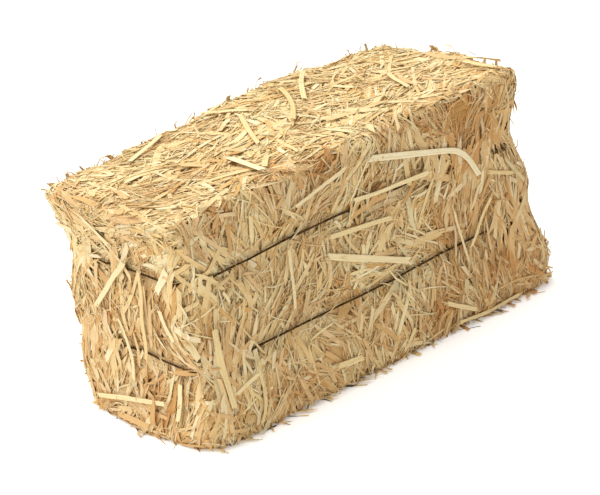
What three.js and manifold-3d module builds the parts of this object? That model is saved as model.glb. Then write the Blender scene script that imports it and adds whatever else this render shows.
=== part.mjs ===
// Square bale of chopped, flattened straw, held by two twines that run round its four sides.
// Units are millimetres. X runs along the length, Y along the width, Z up; the bale stands on Z = 0.

import * as THREE from 'three';
import { mergeVertices } from 'three/addons/utils/BufferGeometryUtils.js';
import Module from 'manifold-3d';

const wasm = await Module();
wasm.setup();

// Driving dimensions of the bale.
const LENGTH = 530;
const WIDTH = 244;
const HEIGHT = 277;
const TWINE_DIAMETER = 2.6;
const CLEARANCE = 0.35;

const HALF_LENGTH = LENGTH / 2;
const HALF_WIDTH = WIDTH / 2;
const TWINE_RADIUS = TWINE_DIAMETER / 2;
// The twine rests this far out from the bottom of its groove, whose sides slope.
const TWINE_REST = (TWINE_RADIUS + CLEARANCE) * 1.2;

// The twines sit lower at the -X end than at the +X end.
const UPPER_TWINE_HEIGHT = 0.722 * HEIGHT;
const LOWER_TWINE_HEIGHT = 0.355 * HEIGHT;
const TWINE_TILT = 5.2;
const GROOVE_HALF_HEIGHT = 11;

// Rounding of the block: along the upper and lower edges, and at the upright corners, which the
// pull of the twines rounds off much more than the top and the bottom.
const TOP_EDGE_RADIUS = 9;
const BOTTOM_EDGE_RADIUS = 4;
const CORNER_RADIUS = 14;
const UPPER_PINCH_RADIUS = 36;
const LOWER_PINCH_RADIUS = 19;
// The twines round the front left corner less than the others.
const FRONT_LEFT_PINCH_SHARE = 0.4;
const PINCH_REACH = 43;

// How deep the twines press into the faces, and how far the layers between them bulge.
const FACE_PRESS = 5;
const PRESS_REACH = 15;
const FOOT_HEIGHT = 0.14 * HEIGHT;
const FOOT_REACH = 45;
const FOOT_BULGE = { left: 5, right: 15, front: 11, back: 3 };
const FOOT_CORNER_RADIUS = 20;
const SHOULDER_BULGE = { left: 11, right: 0 };
const SHOULDER_REACH = 32;
const MIDDLE_HEIGHT = (UPPER_TWINE_HEIGHT + LOWER_TWINE_HEIGHT) / 2;
const MIDDLE_REACH = 30;
const MIDDLE_BULGE = { left: 3, right: 5 };

// Straw that has slid out over the ground at the -X end.
const SKIRT_BULGE = 13;
const SKIRT_REACH = 78;
const SKIRT_HEIGHT = 26;

// The top rises toward the back and toward the +X end, with a low hump near the back.
const FRONT_TOP_DROP = 2;
const BACK_TOP_RISE = 5;
const END_TOP_RISE = 4;
const HUMP_RISE = 13;
const HUMP_X = 25;
const HUMP_REACH = 105;
const LUMP_HEIGHT = 2;

// Grid of the block: how many facets it has each way.
const SEGMENTS_X = 14;
const SEGMENTS_Y = 8;
const ROW_HEIGHTS = [
  0,
  BOTTOM_EDGE_RADIUS,
  FOOT_HEIGHT,
  LOWER_TWINE_HEIGHT - GROOVE_HALF_HEIGHT,
  LOWER_TWINE_HEIGHT,
  LOWER_TWINE_HEIGHT + GROOVE_HALF_HEIGHT,
  MIDDLE_HEIGHT,
  UPPER_TWINE_HEIGHT - GROOVE_HALF_HEIGHT,
  UPPER_TWINE_HEIGHT,
  UPPER_TWINE_HEIGHT + GROOVE_HALF_HEIGHT,
  HEIGHT - 3 * TOP_EDGE_RADIUS,
  HEIGHT - 0.8 * TOP_EDGE_RADIUS,
  HEIGHT,
];

// Straw sizes: a flattened stalk is much wider than thick.
const STALK_THICKNESS = 1.7;
const STALK_REST = STALK_THICKNESS / 2 + CLEARANCE + 0.3;
const STALK_STEP = 16;
const RIDE_OVER_TWINE = TWINE_REST + TWINE_RADIUS + 1;
const TWINE_SIDES = 8;
const TWINE_SAMPLES = 220;
const KNOT_RADIUS = 3.4;
const TAIL_LENGTH = 24;

const strawMaterial = () => new THREE.MeshStandardMaterial({ color: 0xd3b273, roughness: 0.85, metalness: 0 });
const paleMaterial = () => new THREE.MeshStandardMaterial({ color: 0xecd9a4, roughness: 0.75, metalness: 0 });
const twineMaterial = () => new THREE.MeshStandardMaterial({ color: 0x4a3423, roughness: 0.9, metalness: 0 });

const bell = (distance, reach) => Math.exp(-((distance / reach) ** 2));
const clamp = THREE.MathUtils.clamp;
const lerp = THREE.MathUtils.lerp;

/** Random numbers between 0 and 1 that are the same on every run. */
function seededRandom(seed) {
  let state = seed;
  return () => {
    state = (state + 0x6d2b79f5) | 0;
    let mixed = Math.imul(state ^ (state >>> 15), 1 | state);
    mixed = (mixed + Math.imul(mixed ^ (mixed >>> 7), 61 | mixed)) ^ mixed;
    return ((mixed ^ (mixed >>> 14)) >>> 0) / 4294967296;
  };
}

const random = seededRandom(2407);
const randomBetween = (low, high) => lerp(low, high, random());

/** Height that the twines' tilt adds at a place along the length. */
function tiltAt(x, height) {
  return TWINE_TILT * Math.sin((height / UPPER_TWINE_HEIGHT) * (Math.PI / 2)) * (x / HALF_LENGTH);
}

/** Gentle unevenness of the pressed straw, fading out at the flat base. */
function lumpAt(x, y, z) {
  const broad = Math.sin(x / 43 + z / 57) * Math.cos(y / 39 - z / 31);
  const fine = 0.6 * Math.sin(x / 21 + 1.3) * Math.sin(z / 19 + y / 25);
  return LUMP_HEIGHT * (broad + fine) * clamp(z / 30, 0, 1);
}

/** Inset of the faces where the upper and lower edges are rounded. */
function edgeInset(height) {
  const aboveTop = Math.max(0, height - (HEIGHT - TOP_EDGE_RADIUS));
  const belowBottom = Math.max(0, BOTTOM_EDGE_RADIUS - height);
  const topInset = TOP_EDGE_RADIUS - Math.sqrt(TOP_EDGE_RADIUS ** 2 - aboveTop ** 2);
  const bottomInset = BOTTOM_EDGE_RADIUS - Math.sqrt(BOTTOM_EDGE_RADIUS ** 2 - belowBottom ** 2);
  return topInset + bottomInset;
}

/** Rise of the top face over the plain block. */
function topRise(x, y) {
  const toBack = clamp(y / WIDTH + 0.5, 0, 1);
  const hump = HUMP_RISE * bell(x - HUMP_X, HUMP_REACH) * Math.sin(toBack * Math.PI * 0.62);
  return lerp(-FRONT_TOP_DROP, BACK_TOP_RISE, toBack) + END_TOP_RISE * (x / HALF_LENGTH) + hump;
}

/**
 * Place on the bale for a place on a plain box: across and deep run from -1 to 1, height is the
 * plain height in millimetres.
 */
function balePoint(across, deep, height) {
  const press = FACE_PRESS * (bell(height - UPPER_TWINE_HEIGHT, PRESS_REACH)
    + bell(height - LOWER_TWINE_HEIGHT, PRESS_REACH));
  const end = across < 0 ? 'left' : 'right';
  const foot = bell(height - FOOT_HEIGHT, FOOT_REACH);
  const layer = bell(height - MIDDLE_HEIGHT, MIDDLE_REACH);
  const shoulder = bell(height - HEIGHT, SHOULDER_REACH);
  const inset = edgeInset(height) + press;
  const halfX = HALF_LENGTH - inset + FOOT_BULGE[end] * foot + MIDDLE_BULGE[end] * layer
    + SHOULDER_BULGE[end] * shoulder;
  const halfY = HALF_WIDTH - inset + FOOT_BULGE[deep < 0 ? 'front' : 'back'] * foot;
  const pinch = UPPER_PINCH_RADIUS * bell(height - UPPER_TWINE_HEIGHT, PINCH_REACH)
    + LOWER_PINCH_RADIUS * bell(height - LOWER_TWINE_HEIGHT, PINCH_REACH);
  const pinchShare = across < 0 && deep < 0 ? FRONT_LEFT_PINCH_SHARE : 1;
  const radius = CORNER_RADIUS + pinch * pinchShare + FOOT_CORNER_RADIUS * bell(height, FOOT_REACH);

  // Rings of the square corner become rings of a quarter circle.
  const x = across * halfX;
  const y = deep * halfY;
  const innerX = clamp(x, radius - halfX, halfX - radius);
  const innerY = clamp(y, radius - halfY, halfY - radius);
  const offX = x - innerX;
  const offY = y - innerY;
  const reach = Math.hypot(offX, offY);
  const scale = reach > 0 ? Math.max(Math.abs(offX), Math.abs(offY)) / reach : 1;
  const point = new THREE.Vector3(innerX + offX * scale, innerY + offY * scale, height);

  if (across < 0) {
    point.x -= across ** 6 * SKIRT_BULGE * bell(point.y + 0.06 * WIDTH, SKIRT_REACH) * bell(height, SKIRT_HEIGHT);
  }
  const lump = lumpAt(point.x, point.y, height);
  point.x += lump * (point.x / halfX) ** 7;
  point.y += lump * (point.y / halfY) ** 7;
  const nearTop = clamp((height - UPPER_TWINE_HEIGHT) / (HEIGHT - UPPER_TWINE_HEIGHT), 0, 1);
  point.z += tiltAt(point.x, height) + nearTop ** 2 * (topRise(point.x, point.y) + lump);
  return point;
}

/** Stations crowd a little toward the corners, where the block curves. */
const crowd = (station) => lerp(station, Math.sin((station * Math.PI) / 2), 0.4);

/** The plain block of straw, before any straw is added to it. */
function blockGeometry() {
  const geometry = new THREE.BoxGeometry(2, 2, 2, SEGMENTS_X, SEGMENTS_Y, ROW_HEIGHTS.length - 1);
  const position = geometry.attributes.position;
  for (let i = 0; i < position.count; i += 1) {
    const row = Math.round(((position.getZ(i) + 1) / 2) * (ROW_HEIGHTS.length - 1));
    const point = balePoint(crowd(position.getX(i)), crowd(position.getY(i)), ROW_HEIGHTS[row]);
    position.setXYZ(i, point.x, point.y, point.z);
  }
  geometry.computeVertexNormals();
  return geometry;
}

/** Solid made from a closed geometry. */
function toSolid(geometry) {
  const bare = geometry.clone();
  bare.deleteAttribute('normal');
  bare.deleteAttribute('uv');
  const merged = mergeVertices(bare, 1e-4);
  return new wasm.Manifold(new wasm.Mesh({
    numProp: 3,
    vertProperties: new Float32Array(merged.attributes.position.array),
    triVerts: new Uint32Array(merged.index.array),
  }));
}

/** Geometry of a solid. */
function toGeometry(solid) {
  const mesh = solid.getMesh();
  const geometry = new THREE.BufferGeometry();
  geometry.setAttribute('position', new THREE.BufferAttribute(new Float32Array(mesh.vertProperties), 3));
  geometry.setIndex(new THREE.BufferAttribute(new Uint32Array(mesh.triVerts), 1));
  geometry.computeVertexNormals();
  return geometry;
}

/** Named mesh whose own origin is the middle of the piece. */
function namedMesh(name, geometry, material) {
  geometry.computeBoundingBox();
  const middle = geometry.boundingBox.getCenter(new THREE.Vector3());
  geometry.translate(-middle.x, -middle.y, -middle.z);
  const mesh = new THREE.Mesh(geometry, material);
  mesh.name = name;
  mesh.position.copy(middle);
  return mesh;
}

const block = blockGeometry();
const blockMesh = new THREE.Mesh(block, new THREE.MeshStandardMaterial());
const raycaster = new THREE.Raycaster();

// The faces that straws lie on. Each maps two face coordinates to a place well outside the face.
const OUTSIDE = 400;
const FACES = {
  front: { normal: new THREE.Vector3(0, -1, 0), place: (a, b) => new THREE.Vector3(a, -OUTSIDE, b) },
  back: { normal: new THREE.Vector3(0, 1, 0), place: (a, b) => new THREE.Vector3(a, OUTSIDE, b) },
  left: { normal: new THREE.Vector3(-1, 0, 0), place: (a, b) => new THREE.Vector3(-2 * OUTSIDE, a, b) },
  right: { normal: new THREE.Vector3(1, 0, 0), place: (a, b) => new THREE.Vector3(2 * OUTSIDE, a, b) },
  top: { normal: new THREE.Vector3(0, 0, 1), place: (a, b) => new THREE.Vector3(a, b, 2 * OUTSIDE) },
};

/** Place and outward direction on the block under a place on a face, or null beside the block. */
function surfaceAt(faceName, a, b) {
  const face = FACES[faceName];
  raycaster.set(face.place(a, b), face.normal.clone().negate());
  const hit = raycaster.intersectObject(blockMesh)[0];
  return hit ? { point: hit.point, normal: hit.face.normal.clone() } : null;
}

/** Closed loop of one twine round the four sides, resting in the bottom of its groove. */
class TwineLoop extends THREE.Curve {
  constructor(height) {
    super();
    const ring = [];
    const stationX = (i) => crowd((2 * i) / SEGMENTS_X - 1);
    const stationY = (i) => crowd((2 * i) / SEGMENTS_Y - 1);
    for (let i = SEGMENTS_X / 2; i > 0; i -= 1) ring.push([stationX(i), 1]);
    for (let i = SEGMENTS_Y; i > 0; i -= 1) ring.push([-1, stationY(i)]);
    for (let i = 0; i < SEGMENTS_X; i += 1) ring.push([stationX(i), -1]);
    for (let i = 0; i < SEGMENTS_Y; i += 1) ring.push([1, stationY(i)]);
    for (let i = SEGMENTS_X; i > SEGMENTS_X / 2; i -= 1) ring.push([stationX(i), 1]);
    const bottom = ring.map(([across, deep]) => balePoint(across, deep, height));
    this.places = bottom.map((point, i) => {
      const before = bottom[(i + bottom.length - 1) % bottom.length];
      const after = bottom[(i + 1) % bottom.length];
      const outward = new THREE.Vector3(after.y - before.y, before.x - after.x, 0).normalize();
      return point.clone().addScaledVector(outward, TWINE_REST);
    });
  }

  getPoint(t, target = new THREE.Vector3()) {
    const count = this.places.length;
    const along = THREE.MathUtils.euclideanModulo(t, 1) * count;
    const index = Math.floor(along) % count;
    return target.lerpVectors(this.places[index], this.places[(index + 1) % count], along - Math.floor(along));
  }

  // Equal steps fall on the groove's own corner points, so the twine never cuts a facet.
  getUtoTmapping(u) {
    return u;
  }
}

/** Tube round a twine's loop. */
function twineGeometry(loop, radius) {
  return new THREE.TubeGeometry(loop, loop.places.length, radius, TWINE_SIDES, true);
}

/** Knot with two tails, at one place on a twine's loop. */
function knotSolid(loop, t, growth) {
  const place = loop.getPoint(t);
  const along = loop.getTangent(t);
  const outward = new THREE.Vector3(along.y, -along.x, 0).normalize();
  const ball = new THREE.SphereGeometry(KNOT_RADIUS + growth, 8, 6);
  ball.scale(1.35, 1, 1);
  ball.applyQuaternion(new THREE.Quaternion().setFromUnitVectors(new THREE.Vector3(1, 0, 0), along));
  ball.translate(place.x, place.y, place.z);
  let solid = toSolid(ball);
  for (const side of [-1, 1]) {
    const direction = along.clone().multiplyScalar(0.55 * side)
      .addScaledVector(outward, 0.42)
      .add(new THREE.Vector3(0, 0, -0.8))
      .normalize();
    const tail = new THREE.CylinderGeometry(TWINE_RADIUS * 0.7 + growth, TWINE_RADIUS + growth, TAIL_LENGTH, 6);
    tail.translate(0, TAIL_LENGTH / 2, 0);
    tail.applyQuaternion(new THREE.Quaternion().setFromUnitVectors(new THREE.Vector3(0, 1, 0), direction));
    tail.translate(place.x, place.y, place.z);
    solid = solid.add(toSolid(tail));
  }
  return solid;
}

/**
 * Route of a straw that lies on a face, from one pair of face coordinates to another. Bow bends it
 * sideways in the face. Where it passes a twine it rides over it.
 */
function strawRoute({ face, from, to, bow = 0 }) {
  const start = new THREE.Vector2(...from);
  const end = new THREE.Vector2(...to);
  const run = end.clone().sub(start);
  const sideways = new THREE.Vector2(-run.y, run.x).normalize();
  const steps = Math.max(2, Math.round(run.length() / STALK_STEP));
  const stations = [];
  for (let i = 0; i <= steps; i += 1) {
    const t = i / steps;
    const spot = start.clone().addScaledVector(run, t).addScaledVector(sideways, bow * 4 * t * (1 - t));
    const under = surfaceAt(face, spot.x, spot.y);
    if (!under) return null;
    const height = face === 'top' ? HEIGHT : under.point.z - tiltAt(under.point.x, under.point.z);
    const overTwine = bell(height - UPPER_TWINE_HEIGHT, PRESS_REACH)
      + bell(height - LOWER_TWINE_HEIGHT, PRESS_REACH);
    const rise = STALK_REST + overTwine * RIDE_OVER_TWINE;
    stations.push({ point: under.point.addScaledVector(under.normal, rise), normal: under.normal });
  }
  return stations;
}

/** Flat straw along a route: a box bent to follow it, narrower at both ends. */
function strawGeometry(route, width, growth = 0) {
  const steps = route.length - 1;
  const geometry = new THREE.BoxGeometry(steps, 1, 1, steps, 1, 1);
  const position = geometry.attributes.position;
  const place = new THREE.Vector3();
  for (let i = 0; i < position.count; i += 1) {
    const index = Math.round(position.getX(i) + steps / 2);
    const before = route[Math.max(0, index - 1)].point;
    const after = route[Math.min(steps, index + 1)].point;
    const along = after.clone().sub(before).normalize();
    const side = new THREE.Vector3().crossVectors(route[index].normal, along).normalize();
    const up = new THREE.Vector3().crossVectors(along, side);
    const isEnd = index === 0 || index === steps;
    const fullWidth = width * (isEnd ? 0.62 : 1) + 2 * growth;
    const endShift = isEnd ? growth * Math.sign(index - 0.5) : 0;
    place.copy(route[index].point)
      .addScaledVector(side, position.getY(i) * fullWidth)
      .addScaledVector(up, position.getZ(i) * (STALK_THICKNESS + 2 * growth))
      .addScaledVector(along, endShift);
    position.setXYZ(i, place.x, place.y, place.z);
  }
  geometry.computeVertexNormals();
  return geometry;
}

// Straws that can be told apart in view, each by the face it lies on, its route in face coordinates
// (along the face, then height or depth) and its width.
const SEEN_STRAWS = [
  { name: 'pale_blade_front_top', face: 'front', route: [[8, 250], [154, 214], [174, 174]], width: 9.5, pale: true },
  { name: 'pale_blade_front_middle', face: 'front', route: [[-70, 160], [46, 113]], width: 10, pale: true },
  { name: 'stalk_front_over_twine', face: 'front', route: [[-22, 211], [92, 206]], width: 7 },
  { name: 'stalk_front_under_twine', face: 'front', route: [[-62, 180], [28, 172]], width: 7 },
  { name: 'stalk_front_shoulder', face: 'front', route: [[-104, 232], [-28, 250]], width: 6 },
  { name: 'blade_near_corner', face: 'front', route: [[-240, 140], [-238, 46]], width: 10 },
  { name: 'blade_front_foot', face: 'front', route: [[-90, 37], [-52, 32]], width: 10, pale: true },
  { name: 'stalk_front_far', face: 'front', route: [[190, 172], [228, 158]], width: 6 },
  { name: 'tan_stalk_front_foot', face: 'front', route: [[88, 44], [132, 20]], width: 7 },
  { name: 'curved_strip_front_foot', face: 'front', route: [[104, 13], [156, 8], [206, 10]], width: 6, pale: true },
  { name: 'thin_stalk_front', face: 'front', route: [[126, 146], [137, 78]], width: 4 },
  { name: 'pale_blade_left_corner', face: 'left', route: [[-72, 182], [-98, 214]], width: 11, pale: true },
  { name: 'blade_left_over_twine', face: 'left', route: [[54, 140], [-14, 206]], width: 9 },
  { name: 'blade_left_middle', face: 'left', route: [[-70, 160], [-88, 128]], width: 9, pale: true },
  { name: 'strip_left_foot', face: 'left', route: [[80, 24], [18, 36], [-50, 44]], width: 7 },
  { name: 'pale_blade_left_foot', face: 'left', route: [[-84, 76], [-72, 30]], width: 10, pale: true },
  { name: 'blade_left_shoulder', face: 'left', route: [[38, 252], [6, 224]], width: 8 },
  { name: 'pale_blade_top_front', face: 'top', route: [[-112, -30], [-118, -96]], width: 10, pale: true },
  { name: 'blade_top_far_edge', face: 'top', route: [[236, -58], [241, -104]], width: 10 },
  { name: 'blade_top_back', face: 'top', route: [[-40, 96], [-14, 52]], width: 8, pale: true },
];

// Other loose stalks, spread over the faces by rule: how many, where, and which way they mostly run.
const LOOSE_STALKS = {
  front: { count: 3, rangeA: [-200, 200], rangeB: [40, 235], heading: 75, spread: 40 },
  back: { count: 8, rangeA: [-220, 220], rangeB: [26, 240], heading: 80, spread: 50 },
  left: { count: 2, rangeA: [-70, 90], rangeB: [40, 235], heading: 70, spread: 40 },
  right: { count: 4, rangeA: [-90, 90], rangeB: [30, 235], heading: 80, spread: 50 },
  top: { count: 5, rangeA: [-220, 210], rangeB: [-90, 90], heading: 15, spread: 55 },
};

// Short straw ends that stick out of the block and are fused to it.
const STRAW_ENDS = {
  front: { count: 24, rangeA: [-245, 245], rangeB: [8, 268] },
  back: { count: 24, rangeA: [-245, 245], rangeB: [8, 268] },
  left: { count: 18, rangeA: [-104, 104], rangeB: [8, 268] },
  right: { count: 16, rangeA: [-104, 104], rangeB: [8, 268] },
  top: { count: 34, rangeA: [-262, 262], rangeB: [-116, 116] },
};
const STRAW_END_LENGTH = [18, 38];
const STRAW_END_ROOT = 9;
const KEEP_APART = 7;

/** Places already taken by a straw or a twine, each with the room that it needs. */
const taken = [];
const takeRoom = (stations, room) => {
  stations.forEach(({ point }, i) => {
    taken.push({ point, room });
    if (i > 0) taken.push({ point: point.clone().lerp(stations[i - 1].point, 0.5), room });
  });
};
const isFree = (stations, room) => stations.every(({ point }) =>
  taken.every((other) => other.point.distanceTo(point) > other.room + room));

/** Route along several face coordinates, with a fold at each place between the ends. */
function foldedRoute(face, places) {
  const stations = [];
  for (let i = 1; i < places.length; i += 1) {
    const leg = strawRoute({ face, from: places[i - 1], to: places[i] });
    stations.push(...(i > 1 ? leg.slice(1) : leg));
  }
  return stations;
}

/** Random route on one face by that face's rule, or null where it would leave the face. */
function looseRoute(face, rule) {
  const a = randomBetween(...rule.rangeA);
  const b = randomBetween(...rule.rangeB);
  const angle = THREE.MathUtils.degToRad(rule.heading + randomBetween(-rule.spread, rule.spread));
  const reach = randomBetween(26, 58);
  const from = [a - Math.cos(angle) * reach, b - Math.sin(angle) * reach];
  const to = [a + Math.cos(angle) * reach, b + Math.sin(angle) * reach];
  const limitB = face === 'top' ? [-HALF_WIDTH + 16, HALF_WIDTH - 16] : [14, HEIGHT - 16];
  const inside = [from, to].every(([, value]) => value > limitB[0] && value < limitB[1]);
  return inside ? strawRoute({ face, from, to, bow: randomBetween(-6, 6) }) : null;
}

/** Straw end that leans out of one face. */
function strawEndGeometry(face, rule) {
  const spot = surfaceAt(face, randomBetween(...rule.rangeA), randomBetween(...rule.rangeB));
  if (!spot) return null;
  const length = randomBetween(...STRAW_END_LENGTH);
  const lean = THREE.MathUtils.degToRad(randomBetween(8, 26));
  const turn = new THREE.Vector3(randomBetween(-1, 1), randomBetween(-1, 1), randomBetween(-1, 1));
  const flat = turn.projectOnPlane(spot.normal).normalize();
  const direction = flat.multiplyScalar(Math.cos(lean)).addScaledVector(spot.normal, Math.sin(lean));
  const tip = spot.point.clone().addScaledVector(direction, length);
  const root = spot.point.clone().addScaledVector(direction, -STRAW_END_ROOT);
  if (tip.z < 4 || root.z < 4) return null;
  const line = [0, 0.25, 0.5, 0.75, 1].map((t) => ({ point: root.clone().lerp(tip, t) }));
  if (!isFree(line, KEEP_APART)) return null;
  takeRoom(line, KEEP_APART * 0.6);
  const geometry = new THREE.CylinderGeometry(randomBetween(0.7, 1.6), 2.8, length + STRAW_END_ROOT, 4);
  geometry.scale(1, 1, 0.45);
  geometry.translate(0, (length + STRAW_END_ROOT) / 2, 0);
  const side = new THREE.Vector3().crossVectors(direction, spot.normal).normalize();
  const up = new THREE.Vector3().crossVectors(side, direction);
  geometry.applyMatrix4(new THREE.Matrix4().makeBasis(side, direction, up));
  geometry.translate(root.x, root.y, root.z);
  return geometry;
}

const bale = new THREE.Group();
const twines = [
  { name: 'twine_upper', loop: new TwineLoop(UPPER_TWINE_HEIGHT), knotAt: 0.62 },
  { name: 'twine_lower', loop: new TwineLoop(LOWER_TWINE_HEIGHT), knotAt: 0.925 },
];
const cutters = [];

for (const { name, loop, knotAt } of twines) {
  const twine = toSolid(twineGeometry(loop, TWINE_RADIUS)).add(knotSolid(loop, knotAt, 0));
  bale.add(namedMesh(name, toGeometry(twine), twineMaterial()));
  cutters.push(knotSolid(loop, knotAt, CLEARANCE));
  const knot = loop.getPoint(knotAt);
  takeRoom([{ point: knot }], TAIL_LENGTH);
}

const blockSolid = toSolid(block);

/** Adds one straw as its own piece. Where it would touch the block it gets a bed in it. */
function addStraw(name, route, width, material) {
  takeRoom(route, width / 2 + 1);
  const room = toSolid(strawGeometry(route, width, CLEARANCE));
  if (!blockSolid.intersect(room).isEmpty()) cutters.push(room);
  bale.add(namedMesh(name, strawGeometry(route, width), material));
}

for (const { name, face, route, width, pale } of SEEN_STRAWS) {
  addStraw(name, foldedRoute(face, route), width, pale ? paleMaterial() : strawMaterial());
}

for (const [face, rule] of Object.entries(LOOSE_STALKS)) {
  let placed = 0;
  while (placed < rule.count) {
    const width = randomBetween(5, 8.5);
    const route = looseRoute(face, rule);
    if (route && isFree(route, width / 2 + 3)) {
      placed += 1;
      const material = random() < 0.4 ? paleMaterial() : strawMaterial();
      addStraw(`loose_stalk_${face}_${placed}`, route, width, material);
    }
  }
}

for (const { loop } of twines) {
  takeRoom(loop.getPoints(TWINE_SAMPLES).map((point) => ({ point })), 1);
}

let straw = blockSolid;
for (const [face, rule] of Object.entries(STRAW_ENDS)) {
  let placed = 0;
  while (placed < rule.count) {
    const strawEnd = strawEndGeometry(face, rule);
    if (strawEnd) {
      placed += 1;
      straw = straw.add(toSolid(strawEnd));
    }
  }
}
for (const cutter of cutters) {
  straw = straw.subtract(cutter);
}
bale.add(namedMesh('packed_straw', toGeometry(straw), strawMaterial()));

// The origin is on the ground under the middle of the bale.
const box = new THREE.Box3().setFromObject(bale);
const middle = box.getCenter(new THREE.Vector3());
bale.position.set(-middle.x, -middle.y, -box.min.z);
bale.updateMatrixWorld(true);

export default bale;
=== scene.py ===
"""Visual model of a small square straw bale held by two twines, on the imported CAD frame.

The block of pressed straw is laid straw by straw with Geometry Nodes on a guide surface, which repeats
the form of the part's source. The loose stalks, the twines and their knots follow their CAD nodes.
Sizes in the classes are in millimetres, and every mesh is made in metres.
"""

import logging
import math
from dataclasses import dataclass, field
from enum import Enum, IntEnum
from typing import Any

import bmesh
import bpy
import numpy as np
from mathutils import Matrix, Vector

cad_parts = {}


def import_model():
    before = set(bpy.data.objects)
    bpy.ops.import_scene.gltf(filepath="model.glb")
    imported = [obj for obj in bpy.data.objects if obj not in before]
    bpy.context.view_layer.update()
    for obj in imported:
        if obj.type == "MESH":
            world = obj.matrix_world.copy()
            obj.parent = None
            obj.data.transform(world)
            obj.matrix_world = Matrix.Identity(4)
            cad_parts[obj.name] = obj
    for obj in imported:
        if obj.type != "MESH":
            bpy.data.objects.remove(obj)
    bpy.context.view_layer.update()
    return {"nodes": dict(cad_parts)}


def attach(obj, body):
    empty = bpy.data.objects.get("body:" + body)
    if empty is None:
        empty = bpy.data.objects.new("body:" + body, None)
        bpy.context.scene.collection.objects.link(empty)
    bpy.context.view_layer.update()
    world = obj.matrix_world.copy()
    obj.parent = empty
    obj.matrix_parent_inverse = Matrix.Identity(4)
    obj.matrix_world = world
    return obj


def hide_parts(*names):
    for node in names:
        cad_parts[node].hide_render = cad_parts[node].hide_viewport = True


MM = 0.001
BODY = "root"
BLOCK_NODE = "packed_straw"
TWINE_NODES = ("twine_upper", "twine_lower")
PHOTO_WIDTH = 600
BAKE_MAP = "OFBake"
MATH = "ShaderNodeMath"
VECTOR = "ShaderNodeVectorMath"
# From the middle of the bale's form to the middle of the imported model's box.
FORM_SHIFT = (-2.602, 3.237)
# A point above the first height is on the top, and the second lies between the twines.
TOP_LEVEL = 272
MIDDLE_LEVEL = 147

log = logging.getLogger("straw bale")


# Helpers shared by every sub-assembly


@dataclass
class NodeSheet:
    """A node tree as it is written, in which each node has a name that later ones use."""

    tree: bpy.types.NodeTree
    kept: dict[str, bpy.types.Node] = field(default_factory=dict)

    def add(self, name: str, kind: str, feeds: dict | tuple = (), **settings: Any) -> bpy.types.Node:
        """Adds one node, with its settings, values and links.

        Args:
            name: Name by which later nodes refer to it.
            kind: The node's type name.
            feeds: A plain value, a node's name or "name:Output" for each input, in the order of
                the inputs or by their names or identifiers.
            **settings: Properties of the node itself, set before its inputs.

        Returns:
            The new node.
        """
        node = self.tree.nodes.new(kind)
        for key, value in settings.items():
            setattr(node, key, value)
        sockets = {socket.identifier: socket for socket in node.inputs}
        for key, value in feeds.items() if isinstance(feeds, dict) else enumerate(feeds):
            socket = sockets.get(key) or node.inputs[key]
            if isinstance(value, str) and key != "Name":
                source, _, output = value.partition(":")
                outputs = self.kept[source].outputs
                found = outputs[output] if output else next(each for each in outputs if each.enabled)
                self.tree.links.new(found, socket)
            else:
                socket.default_value = value
        self.kept[name] = node
        return node

    def add_sums(self, *rows: tuple) -> None:
        """Adds a node for each row of its name, its type, its operation and its feeds in order."""
        for name, kind, operation, *feeds in rows:
            self.add(name, kind, tuple(feeds), operation=operation)

    def add_ending(self, geometry: str, smooth: str | bool) -> None:
        """Makes the copies of a Geometry Nodes tree real and gives them their shading and material.

        Args:
            geometry: Name of the node that makes the copies.
            smooth: Whether they are shaded smooth, or the input that says so.
        """
        self.add("real", "GeometryNodeRealizeInstances", (geometry,))
        self.add("shaded", "GeometryNodeSetShadeSmooth", {"Geometry": "real", "Shade Smooth": smooth})
        self.add("dressed", "GeometryNodeSetMaterial", {"Geometry": "shaded", "Material": "in:Finish"})
        self.add("out", "NodeGroupOutput", ("dressed",))


def geometry_sheet(name: str, inputs: dict[str, tuple[str, ...]]) -> NodeSheet:
    """Starts a Geometry Nodes tree with named inputs and one output.

    Args:
        name: Name of the tree.
        inputs: Names of the inputs, by the kind of their sockets.

    Returns:
        The sheet, with the inputs under "in".
    """
    tree = bpy.data.node_groups.new(name, "GeometryNodeTree")
    for kind, names in inputs.items():
        for each in names:
            tree.interface.new_socket(name=each, in_out="INPUT", socket_type=f"NodeSocket{kind}")
    tree.interface.new_socket(name="Geometry", in_out="OUTPUT", socket_type="NodeSocketGeometry")
    sheet = NodeSheet(tree)
    sheet.add("in", "NodeGroupInput")
    return sheet


def shader_sheet(owner: bpy.types.Material | bpy.types.World) -> NodeSheet:
    """Starts the empty node tree of a material or a world.

    Args:
        owner: The material or world.

    Returns:
        The sheet of its tree, which has no node yet.
    """
    owner.use_nodes = True
    owner.node_tree.nodes.clear()
    return NodeSheet(owner.node_tree)


def run_tree(tree: bpy.types.NodeTree, name: str, values: dict[str, Any]) -> bpy.types.Object:
    """Runs a Geometry Nodes tree once and keeps what it makes as a plain mesh.

    Args:
        tree: The tree.
        name: Name of the finished piece.
        values: Value of each input of the tree, by name.

    Returns:
        The piece, which has no modifier.
    """
    host = mesh_object(f"{name}_host", np.zeros((0, 3)), [])
    modifier = host.modifiers.new(tree.name, "NODES")
    modifier.node_group = tree
    for item in tree.interface.items_tree:
        if item.in_out == "INPUT":
            modifier[item.identifier] = values[item.name]
    evaluated = host.evaluated_get(bpy.context.evaluated_depsgraph_get())
    mesh = bpy.data.meshes.new_from_object(evaluated)
    mesh.name = name
    host.modifiers.remove(modifier)
    bpy.data.objects.remove(host)
    return add_object(name, mesh)


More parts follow.
